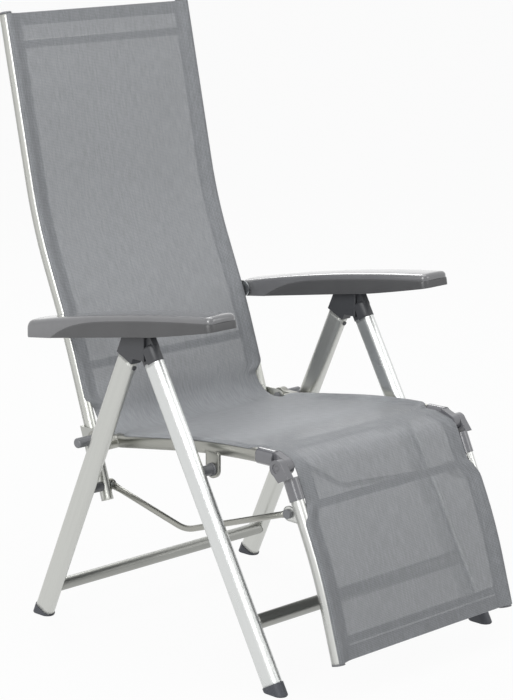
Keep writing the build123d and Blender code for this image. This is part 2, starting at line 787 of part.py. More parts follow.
# Link rods: round bar, bent once, with flattened eyes
with BuildPart() as link_rod:
    for eye, inward in ((lower_pivot, rod_bend), (rod_pivot, rod_bend)):
        run = Vector(inward[0] - eye[0], inward[1] - eye[1]).normalized()
        across = Vector(-run.Y, run.X) * rod_radius
        end = Vector(*eye) + run * rod_eye_length
        with BuildSketch(side.offset(rod_inner)):
            with Locations(eye):
                Circle(rod_eye_radius)
            root = across * rod_eye_root_share
            corners = [Vector(*eye) + root, end + across, end - across, Vector(*eye) - root]
            Polygon(*[(corner.X, corner.Y) for corner in corners], align=None)
        extrude(amount=rod_eye_thickness)
    ends = []
    for eye, inward in ((lower_pivot, rod_bend), (rod_pivot, rod_bend)):
        run = Vector(inward[0] - eye[0], inward[1] - eye[1]).normalized()
        end = Vector(*eye) + run * (rod_eye_length - rod_radius)
        ends.append((end.X, end.Y))
    with BuildLine(side.offset(rod_x)) as rod_path:
        bent_line((ends[0], rod_bend, ends[1]), (rod_bend_radius,))
    with BuildSketch(rail_plane(ends[0], rod_bend, rod_x)):
        Circle(rod_radius)
    sweep(path=rod_path.wires()[0])
    disc(rod_inner, rod_outer, lower_pivot, bolt_radius + running_fit, Mode.SUBTRACT)
    disc(rod_inner - rod_rivet_head, rod_inner, rod_pivot, collar_radius)
save_both(link_rod.part, "link_rod")


# Armrests
def armrest_curve(drop, shrink):
    # The armrest's top edge from the rear to the front, lowered and shortened
    return ThreePointArc((armrest_top_rear[0] - shrink, armrest_top_rear[1] - drop),
                         (armrest_top_middle[0], armrest_top_middle[1] - drop),
                         (armrest_top_front[0] + shrink, armrest_top_front[1] - drop))


def top_band(drop, thickness, shrink, mode=Mode.ADD):
    # A band under the armrest's top
    with BuildLine() as outline:
        high = armrest_curve(drop, shrink)
        low = armrest_curve(drop + thickness, shrink)
        Line(high @ 1, low @ 1)
        Line(low @ 0, high @ 0)
    make_face(outline.edges(), mode=mode)


armrest_width = armrest_outer_x - armrest_inner_x
tip_lift = hub_pin_radius + rack_tip_clearance
rack_high = armrest_top_front[1]
with BuildPart() as armrest_top:
    with BuildSketch(side.offset(armrest_inner_x)):
        top_band(0, armrest_split, 0)
    extrude(amount=armrest_width)
    top_face = armrest_top.faces().filter_by(GeomType.CYLINDER).sort_by(Axis.Z)[-1]
    fillet(top_face.edges(), armrest_edge_rounding)
    with BuildSketch(side.offset(armrest_inner_x + armrest_wall)):
        top_band(armrest_wall, 2 * armrest_split, armrest_wall)
    extrude(amount=armrest_width - 2 * armrest_wall, mode=Mode.SUBTRACT)
    for rack_x in (rack_inner_x, rack_outer_x):
        # Toothed rib: its notches drop over the hub pin
        with BuildSketch(side.offset(rack_x)):
            with BuildLine():
                tips = ThreePointArc((hub[0], hub[1] + tip_lift),
                                     (pin_path_middle[0], pin_path_middle[1] + tip_lift),
                                     (pin_path_end[0], pin_path_end[1] + tip_lift))
                Polyline(tips @ 1, (rack_front, (tips @ 1).Y), (rack_front, rack_high),
                         (rack_rear, rack_high), (rack_rear, (tips @ 0).Y), tips @ 0)
            make_face()
            top_band(armrest_wall / 2, rack_drop, 0, Mode.INTERSECT)
            for notch in range(notch_count):
                tooth = tips @ (notch / (notch_count - 1))
                with Locations((tooth.X, tooth.Y - tip_lift + notch_depth)):
                    Circle(hub_pin_radius + rack_tip_clearance, mode=Mode.SUBTRACT)
        extrude(amount=rack_thickness)
    disc(armrest_inner_x, rack_inner_x, armrest_pivot, armrest_boss_radius + face_gap, Mode.SUBTRACT)
save_both(armrest_top.part, "armrest_top")

skirt_in = armrest_inner_x + skirt_inset
with BuildPart() as armrest_skirt:
    with BuildSketch(side.offset(skirt_in)):
        with BuildLine():
            seam = armrest_curve(armrest_split, 0)
            low = ThreePointArc(armrest_front_low, armrest_low_middle, armrest_low_bend)
            Line(seam @ 1, low @ 0)
            Polyline(low @ 1, armrest_rear_low, armrest_rear_high, seam @ 0)
        make_face()
    extrude(amount=armrest_width - 2 * skirt_inset)
    with BuildSketch(side.offset(skirt_in + skirt_wall)):
        cavity_front = armrest_front_low[0] + skirt_front_wall
        cavity_rear = armrest_rear_low[0] - skirt_wall
        with Locations(((cavity_front + cavity_rear) / 2, hub_height)):
            Rectangle(cavity_rear - cavity_front, skirt_cavity_height)
    extrude(amount=armrest_width - 2 * skirt_inset - 2 * skirt_wall, mode=Mode.SUBTRACT)
    disc(skirt_in, skirt_in + armrest_boss_reach, armrest_pivot, armrest_boss_radius)
    bush_bore = armrest_bush_radius + running_fit
    disc(skirt_in, skirt_in + armrest_boss_reach, armrest_pivot, bush_bore, Mode.SUBTRACT)
save_both(armrest_skirt.part, "armrest_skirt")

# Steel bush with a broad washer, which carries the armrest on the back rail, and its bolt
bush_end = skirt_in + armrest_boss_reach + face_gap
with BuildPart() as armrest_bush:
    disc(rail_outer + face_gap, skirt_in - face_gap, armrest_pivot, armrest_boss_radius)
    disc(rail_outer + face_gap, rail_outer + face_gap + armrest_washer, armrest_pivot, armrest_washer_radius)
    disc(skirt_in - face_gap, bush_end, armrest_pivot, armrest_bush_radius)
    disc(rail_outer + face_gap, bush_end, armrest_pivot, armrest_stud_radius + running_fit, Mode.SUBTRACT)
save_both(armrest_bush.part, "armrest_bush")

with BuildPart() as armrest_bolt:
    disc(rail_x, bush_end + face_gap, armrest_pivot, armrest_stud_radius)
    disc(bush_end + face_gap, bush_end + face_gap + armrest_stud_head, armrest_pivot, bolt_head_radius)
save_both(armrest_bolt.part, "armrest_bolt")
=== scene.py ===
# %% [markdown]
# A reclining garden armchair: oval aluminium tubes, one long mesh sling and two moulded armrests. Its
# solids come packed with their places and joints, in metres. They keep their shapes here and get the
# finishes of the real pieces. What a plain solid can't show, such as the cloth, is made beside them.

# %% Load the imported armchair
from math import atan2, cos, hypot, pi, radians, sin, tan

import bmesh
import bpy
from mathutils import Matrix, Vector, noise


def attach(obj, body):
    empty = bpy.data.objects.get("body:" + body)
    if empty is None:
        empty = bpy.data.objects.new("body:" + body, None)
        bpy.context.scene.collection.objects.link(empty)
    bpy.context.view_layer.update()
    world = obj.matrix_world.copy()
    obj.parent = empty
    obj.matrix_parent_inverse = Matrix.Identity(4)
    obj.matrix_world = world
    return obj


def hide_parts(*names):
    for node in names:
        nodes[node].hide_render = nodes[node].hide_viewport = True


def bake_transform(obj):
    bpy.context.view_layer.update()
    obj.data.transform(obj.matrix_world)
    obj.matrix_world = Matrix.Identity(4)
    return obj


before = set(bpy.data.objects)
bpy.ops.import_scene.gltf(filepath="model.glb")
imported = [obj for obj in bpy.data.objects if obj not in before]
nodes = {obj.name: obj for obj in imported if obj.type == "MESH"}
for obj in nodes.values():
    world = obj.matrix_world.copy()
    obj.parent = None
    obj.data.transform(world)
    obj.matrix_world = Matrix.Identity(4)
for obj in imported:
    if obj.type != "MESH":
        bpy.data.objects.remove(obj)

scene = bpy.context.scene
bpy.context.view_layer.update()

# %% [markdown]
# The camera. The picture is a long-lens catalogue view from the front and the chair's right, a little
# above the seat. A lens of 127 mm on a 36 mm sensor gives the same gentle perspective. The chair is
# placed with the middle of its footprint at the origin, so the camera's place is in the same metres.

# %% Camera
camera_place = (-3.3385, -3.3399, 1.5917)
camera_lens = 127.2
camera_turn = radians(45.05)
camera_dip = radians(12.51)
camera_reach = 200

camera = bpy.data.objects.new("view_camera", bpy.data.cameras.new("view_camera"))
camera.data.lens = camera_lens
camera.data.clip_end = camera_reach
camera.location = camera_place
camera.rotation_euler = (pi / 2 - camera_dip, 0, -camera_turn)
scene.collection.objects.link(camera)
scene.camera = camera
scene.view_settings.view_transform = "Standard"
print("camera at", camera_place)

# %% [markdown]
# Helpers for materials. Colours are written as the sRGB hex values that a colour picker shows, and
# Blender calculates in linear light, so one function turns them over and one makes them darker or
# lighter. A third adds a shader node, sets it up and links it, because every finish below is made
# from a few such nodes. A socket is given by its name, or by its number where hidden sockets share
# the name, as on the Mix node.

# %% Colour and node helpers
first_colour, second_colour, mixed_colour = 6, 7, 2


def linear(code):
    channels = [int(code[place:place + 2], 16) / 255 for place in (1, 3, 5)]
    return (*[c / 12.92 if c <= 0.04045 else ((c + 0.055) / 1.055) ** 2.4 for c in channels], 1.0)


def shaded(code, factor):
    return (*[min(1.0, channel * factor) for channel in linear(code)[:3]], 1.0)


def add_node(tree, kind, inputs=None, **settings):
    node = tree.nodes.new(kind)
    for name, value in settings.items():
        setattr(node, name, value)
    for name, value in (inputs or {}).items():
        if isinstance(value, bpy.types.NodeSocket):
            tree.links.new(value, node.inputs[name])
        else:
            node.inputs[name].default_value = value
    return node


def start_material(name, values=None):
    material = bpy.data.materials.new(name)
    material.use_nodes = True
    tree = material.node_tree
    tree.nodes.clear()
    shader = add_node(tree, "ShaderNodeBsdfPrincipled", values)
    add_node(tree, "ShaderNodeOutputMaterial", {"Surface": shader.outputs["BSDF"]})
    return material, tree, shader


print("grey 128 is", round(linear("#808080")[0], 4), "in linear light")

# %% [markdown]
# The stage. The chair stands on a plain pale floor under soft light. The white surround comes from
# the floor's and the world's own colour, which the Light Path node shows only to the camera, to
# reflections and through clear pieces, so that the lamps can stay at a plain level and colours render
# about as written. The floor keeps part of the chair's shadow.

# %% Floor and world
floor_colour = "#cbcbca"
floor_roughness = 0.9
floor_glow = 0.95
floor_half_size = 60
fill_light = "#a9abad"
plain_white = "#ffffff"


def seen_directly(tree):
    rays = add_node(tree, "ShaderNodeLightPath").outputs
    seen = rays["Is Camera Ray"]
    for kind in ("Is Glossy Ray", "Is Transmission Ray"):
        seen = add_node(tree, "ShaderNodeMath", {0: seen, 1: rays[kind]}, operation="MAXIMUM").outputs[0]
    return seen


floor_mesh = bmesh.new()
bmesh.ops.create_grid(floor_mesh, x_segments=1, y_segments=1, size=floor_half_size)
floor_data = bpy.data.meshes.new("studio_floor")
floor_mesh.to_mesh(floor_data)
floor_mesh.free()
floor = bpy.data.objects.new("studio_floor", floor_data)
scene.collection.objects.link(floor)

floor_paint, tree, shader = start_material("painted_studio_floor", {
    "Base Color": linear(floor_colour), "Roughness": floor_roughness, "Specular IOR Level": 0.0})
glow = add_node(tree, "ShaderNodeEmission", {"Color": linear(plain_white), "Strength": 1.0})
share = add_node(tree, "ShaderNodeMath", {0: seen_directly(tree), 1: floor_glow}, operation="MULTIPLY")
mixed = add_node(tree, "ShaderNodeMixShader", {
    "Fac": share.outputs[0], 1: shader.outputs["BSDF"], 2: glow.outputs["Emission"]})
output = next(node for node in tree.nodes if node.type == "OUTPUT_MATERIAL")
tree.links.new(mixed.outputs["Shader"], output.inputs["Surface"])
floor_data.materials.append(floor_paint)

world = bpy.data.worlds.new("studio_air")
world.use_nodes = True
world_tree = world.node_tree
world_tree.nodes.clear()
air = add_node(world_tree, "ShaderNodeMix", {
    "Factor": seen_directly(world_tree), first_colour: linear(fill_light),
    second_colour: linear(plain_white)}, data_type="RGBA")
background = add_node(world_tree, "ShaderNodeBackground", {
    "Color": air.outputs[mixed_colour], "Strength": 1.0})
add_node(world_tree, "ShaderNodeOutputWorld", {"Surface": background.outputs["Background"]})
scene.world = world
print("floor glow", floor_glow)

# %% [markdown]
# Four large soft lamps. The key lamp stands fairly low on the sitter's right, where the rounded legs,
# knees and armrest edges give back its long bright band. A broad one hangs overhead, as the pale tops
# of the armrests show. A weaker one fills from the other side, and one behind gives the tubes a rim.

# %% Lamps
look_at = Vector((0, 0, 0.55))
# Each lamp's place and width in metres, and its power in watts
lamps = {"key_lamp": ((-4.3, -1.5, 2.7), 3.0, 140), "overhead_lamp": ((0.3, 0.3, 4.0), 2.8, 53),
         "fill_lamp": ((2.2, -4.4, 2.9), 2.8, 42), "rim_lamp": ((1.6, 2.8, 3.0), 1.6, 45)}
for name, (place, width, power) in lamps.items():
    lamp = bpy.data.objects.new(name, bpy.data.lights.new(name, "AREA"))
    lamp.data.shape = "SQUARE"
    lamp.data.size = width
    lamp.data.energy = power
    lamp.location = place
    lamp.rotation_euler = (look_at - Vector(place)).to_track_quat("-Z", "Y").to_euler()
    scene.collection.objects.link(lamp)
print("lamps", list(lamps))

# %% [markdown]
# Anodised aluminium. The tubes are extruded, etched matt and anodised silver. Extrusion leaves faint
# die lines along the tube, and etching makes the reflection soft, a little more in some patches of
# about 110 mm than in others. The metal keeps the default IOR. A stretched noise gives the lines: real
# ones are about 0.3 mm apart, which is finer than a pixel here, so they are drawn 2 mm apart. Each
# tube's own direction is given by turning the pattern. The section of the tubes is crowned rather than
# flat, which the bevel node lends to the reflections.

# %% Aluminium
die_line_spacing = 0.002
die_line_length = 0.3
die_line_depth = 0.0003
die_line_tones = (0.93, 1.06)
etched_patches_per_metre = 9.0
etched_spread = (-0.04, 0.05)
noise_middle = (0.3, 0.7)


def anodised_aluminium(name, colour, roughness, turn, roundness):
    material, tree, shader = start_material(name, {"Metallic": 1.0})
    place = add_node(tree, "ShaderNodeTexCoord").outputs["Object"]
    stretched = add_node(tree, "ShaderNodeMapping", {
        "Vector": place, "Rotation": [radians(angle) for angle in turn],
        "Scale": (die_line_spacing, die_line_spacing, die_line_length)}, vector_type="TEXTURE")
    lines = add_node(tree, "ShaderNodeTexNoise", {
        "Vector": stretched.outputs[0], "Scale": 1.0, "Detail": 3.0, "Roughness": 0.6})
    tone = add_node(tree, "ShaderNodeMix", {
        "Factor": lines.outputs["Fac"], first_colour: shaded(colour, die_line_tones[0]),
        second_colour: shaded(colour, die_line_tones[1])}, data_type="RGBA")
    tree.links.new(tone.outputs[mixed_colour], shader.inputs["Base Color"])
    patches = add_node(tree, "ShaderNodeTexNoise", {
        "Vector": place, "Scale": etched_patches_per_metre, "Detail": 2.0})
    rough = add_node(tree, "ShaderNodeMapRange", {
        "Value": patches.outputs["Fac"], "From Min": noise_middle[0], "From Max": noise_middle[1],
        "To Min": roughness + etched_spread[0], "To Max": roughness + etched_spread[1]})
    tree.links.new(rough.outputs["Result"], shader.inputs["Roughness"])
    crowned = add_node(tree, "ShaderNodeBevel", {"Radius": roundness}, samples=8)
    bump = add_node(tree, "ShaderNodeBump", {
        "Height": lines.outputs["Fac"], "Strength": 0.06, "Distance": die_line_depth,
        "Normal": crowned.outputs["Normal"]})
    tree.links.new(bump.outputs["Normal"], shader.inputs["Normal"])
    return material


# Each kind of tube's colour, roughness, the turn of its die lines in degrees, and its roundness
# The colours are painted light and shade on the one silver finish: lighter on the well-lit front legs,
# darker on the shaded seat rails and crossbars
tube_looks_lit_and_shaded = {
    "front_leg": ("#d9dbda", 0.25, (-29.4, 0, 0), 0.0125),
    "rear_leg": ("#c8c9c5", 0.32, (24.9, 0, 0), 0.011),
    "back": ("#c6c7c2", 0.28, (-17, 0, 0), 0.007),
    "seat": ("#a3a39d", 0.30, (-90, 0, 0), 0.007),
    "footrest": ("#cdcecb", 0.30, (-20, 0, 0), 0.007),
    "bar": ("#9a9b97", 0.34, (0, 90, 0), 0.003),
    "plate": ("#b2b3af", 0.36, (-17, 0, 0), 0.0015)}
metal = {kind: anodised_aluminium("anodised_aluminium_" + kind, *look) for kind, look in tube_looks_lit_and_shaded.items()}
print("aluminium finishes", list(metal))

# %% [markdown]
# Moulded plastic. The shoes, hub pieces, knobs and armrests are injection moulded in grey
# polypropylene or nylon with a fine spark-eroded grain, which breaks the reflection into a satin
# sheen. The knee fittings and the armrest caps are polished as well, which a clear coat gives. The
# grain is drawn by a small noise in the bump. A slow second noise, in patches of about 45 mm, varies
# the tone as handling and weather do, and the bevel node finds the edges, which are drawn lighter: partly
# wear of the grain and partly a painted highlight.

# %% Plastic
plastic_ior = 1.49
plastic_tones = (0.86, 1.12)
plastic_patches_per_metre = 22.0
plastic_spread = (-0.05, 0.06)
edge_wear_and_highlight_brighter = 2.1
edge_wear_and_highlight_span = (0.97, 0.75)


def moulded_plastic(name, colour, roughness, grain, depth, wear_and_highlight, rounding=0.0012, coat=None):
    material, tree, shader = start_material(name, {"IOR": plastic_ior})
    if coat is not None:
        shader.inputs["Coat Weight"].default_value = 1.0
        shader.inputs["Coat Roughness"].default_value = coat
    place = add_node(tree, "ShaderNodeTexCoord").outputs["Object"]
    patches = add_node(tree, "ShaderNodeTexNoise", {
        "Vector": place, "Scale": plastic_patches_per_metre, "Detail": 4.0})
    tone = add_node(tree, "ShaderNodeMix", {
        "Factor": patches.outputs["Fac"], first_colour: shaded(colour, plastic_tones[0]),
        second_colour: shaded(colour, plastic_tones[1])}, data_type="RGBA")
    soft = add_node(tree, "ShaderNodeBevel", {"Radius": rounding}, samples=4)
    true = add_node(tree, "ShaderNodeNewGeometry")
    same = add_node(tree, "ShaderNodeVectorMath", {
        0: soft.outputs["Normal"], 1: true.outputs["Normal"]}, operation="DOT_PRODUCT")
    # Edges lightened: wear of the grain and a painted highlight
    edge = add_node(tree, "ShaderNodeMapRange", {
        "Value": same.outputs["Value"], "From Min": edge_wear_and_highlight_span[0], "From Max": edge_wear_and_highlight_span[1],
        "To Min": 0.0, "To Max": wear_and_highlight})
    wear_and_highlight_tone = add_node(tree, "ShaderNodeMix", {
        "Factor": edge.outputs["Result"], first_colour: tone.outputs[mixed_colour],
        second_colour: shaded(colour, edge_wear_and_highlight_brighter)}, data_type="RGBA")
    tree.links.new(wear_and_highlight_tone.outputs[mixed_colour], shader.inputs["Base Color"])
    rough = add_node(tree, "ShaderNodeMapRange", {
        "Value": patches.outputs["Fac"], "From Min": noise_middle[0], "From Max": noise_middle[1],
        "To Min": roughness + plastic_spread[0], "To Max": roughness + plastic_spread[1]})
    tree.links.new(rough.outputs["Result"], shader.inputs["Roughness"])
    grains = add_node(tree, "ShaderNodeTexNoise", {"Vector": place, "Scale": 1 / grain, "Detail": 2.0})
    bump = add_node(tree, "ShaderNodeBump", {
        "Height": grains.outputs["Fac"], "Strength": 0.25, "Distance": depth,
        "Normal": soft.outputs["Normal"]})
    tree.links.new(bump.outputs["Normal"], shader.inputs["Normal"])
    return material


# Each one's colour, roughness, grain size and depth in metres, edge wear with painted edge highlight, then
# rounding and coat
armrest_plastic = moulded_plastic("moulded_polypropylene_armrest", "#505051", 0.34, 0.0016, 0.0001, 0.8)
cap_plastic = moulded_plastic("moulded_polypropylene_cap", "#6d6d6f", 0.2, 0.0016, 0.00002, 0.3, coat=0.14)
hub_plastic = moulded_plastic("moulded_nylon_hub", "#424346", 0.42, 0.0016, 0.0002, 0.35)
shoe_plastic = moulded_plastic("moulded_polypropylene_shoe", "#484a50", 0.5, 0.0018, 0.0003, 0.3)
knee_plastic = moulded_plastic("polished_nylon_knee", "#68686c", 0.15, 0.003, 0.00005, 0.12, 0.004, 0.06)
knob_plastic = moulded_plastic("moulded_nylon_knob", "#76777a", 0.34, 0.0016, 0.0002, 0.35)
print("plastic finishes", [plastic.name for plastic in (
    armrest_plastic, cap_plastic, hub_plastic, shoe_plastic, knee_plastic, knob_plastic)])

# %% [markdown]
# Zinc-plated steel for the bolts and the bush washers: a bright metal with a slightly cloudy plating,
# whose clouds are about 4 mm across.

# %% Steel
steel_clouds_per_metre = 260.0
steel_tones = ("#8d9092", "#bfc2c3")

steel, tree, shader = start_material("zinc_plated_steel", {"Metallic": 1.0})
place = add_node(tree, "ShaderNodeTexCoord").outputs["Object"]
cloud = add_node(tree, "ShaderNodeTexNoise", {
    "Vector": place, "Scale": steel_clouds_per_metre, "Detail": 3.0})
tone = add_node(tree, "ShaderNodeMix", {
    "Factor": cloud.outputs["Fac"], first_colour: linear(steel_tones[0]),
    second_colour: linear(steel_tones[1])}, data_type="RGBA")
tree.links.new(tone.outputs[mixed_colour], shader.inputs["Base Color"])
rough = add_node(tree, "ShaderNodeMapRange", {"Value": cloud.outputs["Fac"], "To Min": 0.22, "To Max": 0.42})
tree.links.new(rough.outputs["Result"], shader.inputs["Roughness"])
print("steel tones", steel_tones)

# %% [markdown]
# The finishes go on the solids by name. Every carried-over solid keeps its shape and gets the
# material of the real piece.

# %% Finishes for the solids
finishes = {
    "front_leg": metal["front_leg"], "rear_leg": metal["rear_leg"], "back_rail": metal["back"],
    "seat_rail": metal["seat"], "footrest_rail": metal["footrest"], "link_rod": metal["seat"],
    "back_bracket": metal["plate"], **{name: metal["bar"] for name in nodes if name.endswith("_crossbar")},
    "front_foot": shoe_plastic, "rear_foot": shoe_plastic, "front_hub_tongue": hub_plastic,
    "rear_hub_fork": hub_plastic, "seat_bush": knob_plastic, "back_spacer": knob_plastic,
    "stop_knob": knob_plastic, "upper_knee": knee_plastic, "lower_knee": knee_plastic,
    "back_top_plug": knob_plastic, "footrest_plug": knob_plastic, "armrest_top": cap_plastic,
    "armrest_skirt": armrest_plastic, "armrest_bush": steel, "armrest_bolt": steel,
    "lower_bolt": steel, "tab_bolt": knob_plastic}
plain_nodes = []
for name, node in nodes.items():
    kind = name.removesuffix("_left").removesuffix("_right")
    if kind in finishes:
        node.data.materials.clear()
        node.data.materials.append(finishes[kind])
    else:
        plain_nodes.append(name)
print("solids left for the cloth to replace", plain_nodes)

# %% [markdown]
# The sling is one long panel of coated polyester mesh, stretched over back, seat and footrest. Its
# pattern follows the cloth, so it reads the panel's own UV map, which holds real metres across and
# along, and a sine of that place gives the threads. The real ones lie about 1.3 mm apart, under a
# pixel here, so they are drawn 3 mm apart to show at all.

# %% Threads
thread_spacing = 0.003


def thread_wave(tree, along):
    # A wave that rises and falls with each thread, and how open the cloth is between two threads
    angle = add_node(tree, "ShaderNodeMath", {0: along, 1: pi / thread_spacing}, operation="MULTIPLY")
    wave = add_node(tree, "ShaderNodeMath", {0: angle.outputs[0]}, operation="SINE").outputs[0]
    size = add_node(tree, "ShaderNodeMath", {0: wave}, operation="ABSOLUTE").outputs[0]
    return wave, add_node(tree, "ShaderNodeMath", {0: 1.0, 1: size}, operation="SUBTRACT").outputs[0]


print("threads drawn every", thread_spacing * 1000, "mm")

# %% [markdown]
# The cloth's tone. Uneven yarn gives short faint streaks along the warp. A noise that is stretched
# along the cloth draws them, over slow patches of about 140 mm and the change from thread to thread.
# Near the floor the cloth is drawn darker as painted shade, so its tone falls a little towards the foot end.

# %% Tone of the cloth
streak_width = 0.0042
streak_length = 0.03
streak_middle = (0.34, 0.66)
streak_share = 0.75
cloud_share = 0.25
cloud_patches_per_metre = 7.0
thread_share = 0.10
foot_shade_zone = (1.18, 1.6)
foot_painted_shade = 0.34


def cloth_shade(tree, flat, along, over):
    yarn = add_node(tree, "ShaderNodeMapping", {
        "Vector": flat, "Scale": (streak_width, streak_length, 1.0)}, vector_type="TEXTURE")
    streaks = add_node(tree, "ShaderNodeTexNoise", {
        "Vector": yarn.outputs[0], "Scale": 1.0, "Detail": 4.0, "Roughness": 0.7})
    clear = add_node(tree, "ShaderNodeMapRange", {
        "Value": streaks.outputs["Fac"], "From Min": streak_middle[0], "From Max": streak_middle[1],
        "To Min": 0.0, "To Max": streak_share})
    # Painted shade: the cloth's tone falls towards its foot end, near the floor
    falling = add_node(tree, "ShaderNodeMapRange", {
        "Value": along, "From Min": foot_shade_zone[0], "From Max": foot_shade_zone[1],
        "To Min": 0.0, "To Max": -foot_painted_shade})
    shade = add_node(tree, "ShaderNodeMath", {
        0: clear.outputs["Result"], 1: falling.outputs["Result"]}, operation="ADD").outputs[0]
    cloud = add_node(tree, "ShaderNodeTexNoise", {
        "Vector": flat, "Scale": cloud_patches_per_metre, "Detail": 2.0})
    for part, share in ((cloud.outputs["Fac"], cloud_share), (over, thread_share)):
        shade = add_node(tree, "ShaderNodeMath", {
            0: part, 1: share, 2: shade}, operation="MULTIPLY_ADD").outputs[0]
    return shade


print("yarn streaks", streak_width * 1000, "by", streak_length * 1000, "mm")

# %% [markdown]
# What shows through. The mesh is a few tenths open, so bars and doubled hems behind it show as darker
# bands. Real holes would be far too many, so the gaps between the threads are made see-through. The
# part that is sat on is beaten up closer, so that almost nothing shows through the seat.

# %% Cover of the threads
widest_gap = 0.6
seat_zone = (0.74, 0.84, 1.16, 1.26)
seat_closer = 0.93


def cloth_cover(tree, along, gaps, closed_share, open_share):
    openness = add_node(tree, "ShaderNodeMapRange", {
        "Value": gaps, "From Min": 0.0, "From Max": widest_gap,
        "To Min": 1 - closed_share, "To Max": 1 - open_share}).outputs["Result"]
    rising, falling = [add_node(tree, "ShaderNodeMapRange", {
        "Value": along, "From Min": low, "From Max": high},
        interpolation_type="SMOOTHSTEP").outputs["Result"]
        for low, high in (seat_zone[:2], (seat_zone[3], seat_zone[2]))]
    closer = add_node(tree, "ShaderNodeMath", {0: rising, 1: falling}, operation="MULTIPLY").outputs[0]
    kept = add_node(tree, "ShaderNodeMath", {
        0: closer, 1: -seat_closer, 2: 1.0}, operation="MULTIPLY_ADD").outputs[0]
    left_open = add_node(tree, "ShaderNodeMath", {0: openness, 1: kept}, operation="MULTIPLY").outputs[0]
    return add_node(tree, "ShaderNodeMath", {0: 1.0, 1: left_open}, operation="SUBTRACT").outputs[0]


print("closer weave at the seat from", seat_zone[0], "to", seat_zone[3], "m along the cloth")

# %% [markdown]
# The finish puts these together. The coating leaves a faint sheen, and the bump lets each thread pass
# over and under the next.

# %% Mesh cloth
cloth_tones = (0.82, 1.18)


def mesh_cloth(name, colour, closed_share, open_share):
    material, tree, shader = start_material(name, {
        "Roughness": 0.62, "Specular IOR Level": 0.35, "Sheen Weight": 0.12, "Sheen Roughness": 0.5})
    flat = add_node(tree, "ShaderNodeUVMap", uv_map="UVMap").outputs["UV"]
    axes = add_node(tree, "ShaderNodeSeparateXYZ", {"Vector": flat}).outputs
    warp, warp_gap = thread_wave(tree, axes["X"])
    weft, weft_gap = thread_wave(tree, axes["Y"])
    over = add_node(tree, "ShaderNodeMath", {0: warp, 1: weft}, operation="MULTIPLY").outputs[0]
    gaps = add_node(tree, "ShaderNodeMath", {0: warp_gap, 1: weft_gap}, operation="MULTIPLY").outputs[0]
    tone = add_node(tree, "ShaderNodeMix", {
        "Factor": cloth_shade(tree, flat, axes["Y"], over), first_colour: shaded(colour, cloth_tones[0]),
        second_colour: shaded(colour, cloth_tones[1])}, data_type="RGBA")
    tree.links.new(tone.outputs[mixed_colour], shader.inputs["Base Color"])
    cover = cloth_cover(tree, axes["Y"], gaps, closed_share, open_share)
    tree.links.new(cover, shader.inputs["Alpha"])
    height = add_node(tree, "ShaderNodeMath", {0: over, 1: 0.5, 2: gaps}, operation="MULTIPLY_ADD")
    bump = add_node(tree, "ShaderNodeBump", {
        "Height": height.outputs[0], "Strength": 0.35, "Distance": 0.0003})
    tree.links.new(bump.outputs["Normal"], shader.inputs["Normal"])
    return material


sling_cloth = mesh_cloth("coated_polyester_mesh", "#96989b", 0.83, 0.45)
print("cloth finish", sling_cloth.name)

# %% [markdown]
# The sewing thread is spun polyester, a little darker than the cloth, with a matt fuzz of about 1 mm.

# %% Sewing thread
thread_fuzz_per_metre = 900.0
thread_tones = ("#4c4e53", "#74777c")

thread_grey, tree, shader = start_material("spun_polyester_thread", {"Roughness": 0.75})
place = add_node(tree, "ShaderNodeTexCoord").outputs["Object"]
fuzz = add_node(tree, "ShaderNodeTexNoise", {"Vector": place, "Scale": thread_fuzz_per_metre, "Detail": 2.0})
tone = add_node(tree, "ShaderNodeMix", {
    "Factor": fuzz.outputs["Fac"], first_colour: linear(thread_tones[0]),
    second_colour: linear(thread_tones[1])}, data_type="RGBA")
tree.links.new(tone.outputs[mixed_colour], shader.inputs["Base Color"])
print("thread tones", thread_tones)

# %% [markdown]
# The sling's course starts from the rails. Seen from the side, the cloth runs parallel to them, 8 mm
# in front of their middle, so their corner points are moved over by that much. The side view's y is
# measured from the hubs, which lie hub_y behind the frame's own origin.

# %% Rails seen from the side
hub_y = 0.012
sling_level = 0.0083
back_rail_points = [(0.440, 1.184), (0.352, 0.775), (0.264, 0.567), (0.158, 0.253)]
seat_rail_points = [(0.118, 0.3803), (-0.1615, 0.4222), (-0.301, 0.4236)]
footrest_rail_points = [(-0.3435, 0.3905), (-0.4194, 0.2236), (-0.4634, 0.072)]


def unit(start, end):
    length = hypot(end[0] - start[0], end[1] - start[1])
    return ((end[0] - start[0]) / length, (end[1] - start[1]) / length)


def beside_rail(points, level):
    # Moves a rail's corner points to the sitter's side, which is on the right of the way down
    moved = []
    for number, point in enumerate(points):
        before = unit(*points[max(number - 1, 0):max(number - 1, 0) + 2])
        after = unit(*points[min(number, len(points) - 2):min(number, len(points) - 2) + 2])
        sides = [(before[1], -before[0]), (after[1], -after[0])]
        spread = 1 + sides[0][0] * sides[1][0] + sides[0][1] * sides[1][1]
        moved.append(tuple(point[axis] + level * (sides[0][axis] + sides[1][axis]) / spread
                           for axis in (0, 1)))
    return moved


back_line = beside_rail(back_rail_points, sling_level)
seat_line = beside_rail(seat_rail_points, sling_level)
footrest_line = beside_rail(footrest_rail_points, sling_level)
print("cloth's top end", [round(value, 4) for value in back_line[0]])

# %% [markdown]
# The corners. At the lap and at the knees the cloth is free and cuts across the frame's own bend, so
# its corners are where its neighbouring lines cross. Before the knees it creases down over the seat's
# front bar. Each corner is rounded: widely where the rails are bent, and tightly where the cloth folds.

# %% Corners of the course
back_bend_radii = [0.886, 1.5]
seat_bend_radius = 1.64
footrest_bend_radius = 0.9
lap_radius = 0.065
crease_y = -0.292
crease_turn = radians(15)
crease_radius = 0.07
knee_radius = 0.035


def crossing(start, along, other, other_along):
    # Where two lines meet, each given by a point and a direction
    cross = along[0] * other_along[1] - along[1] * other_along[0]
    gap = (other[0] - start[0], other[1] - start[1])
    reach = (gap[0] * other_along[1] - gap[1] * other_along[0]) / cross
    return (start[0] + along[0] * reach, start[1] + along[1] * reach)


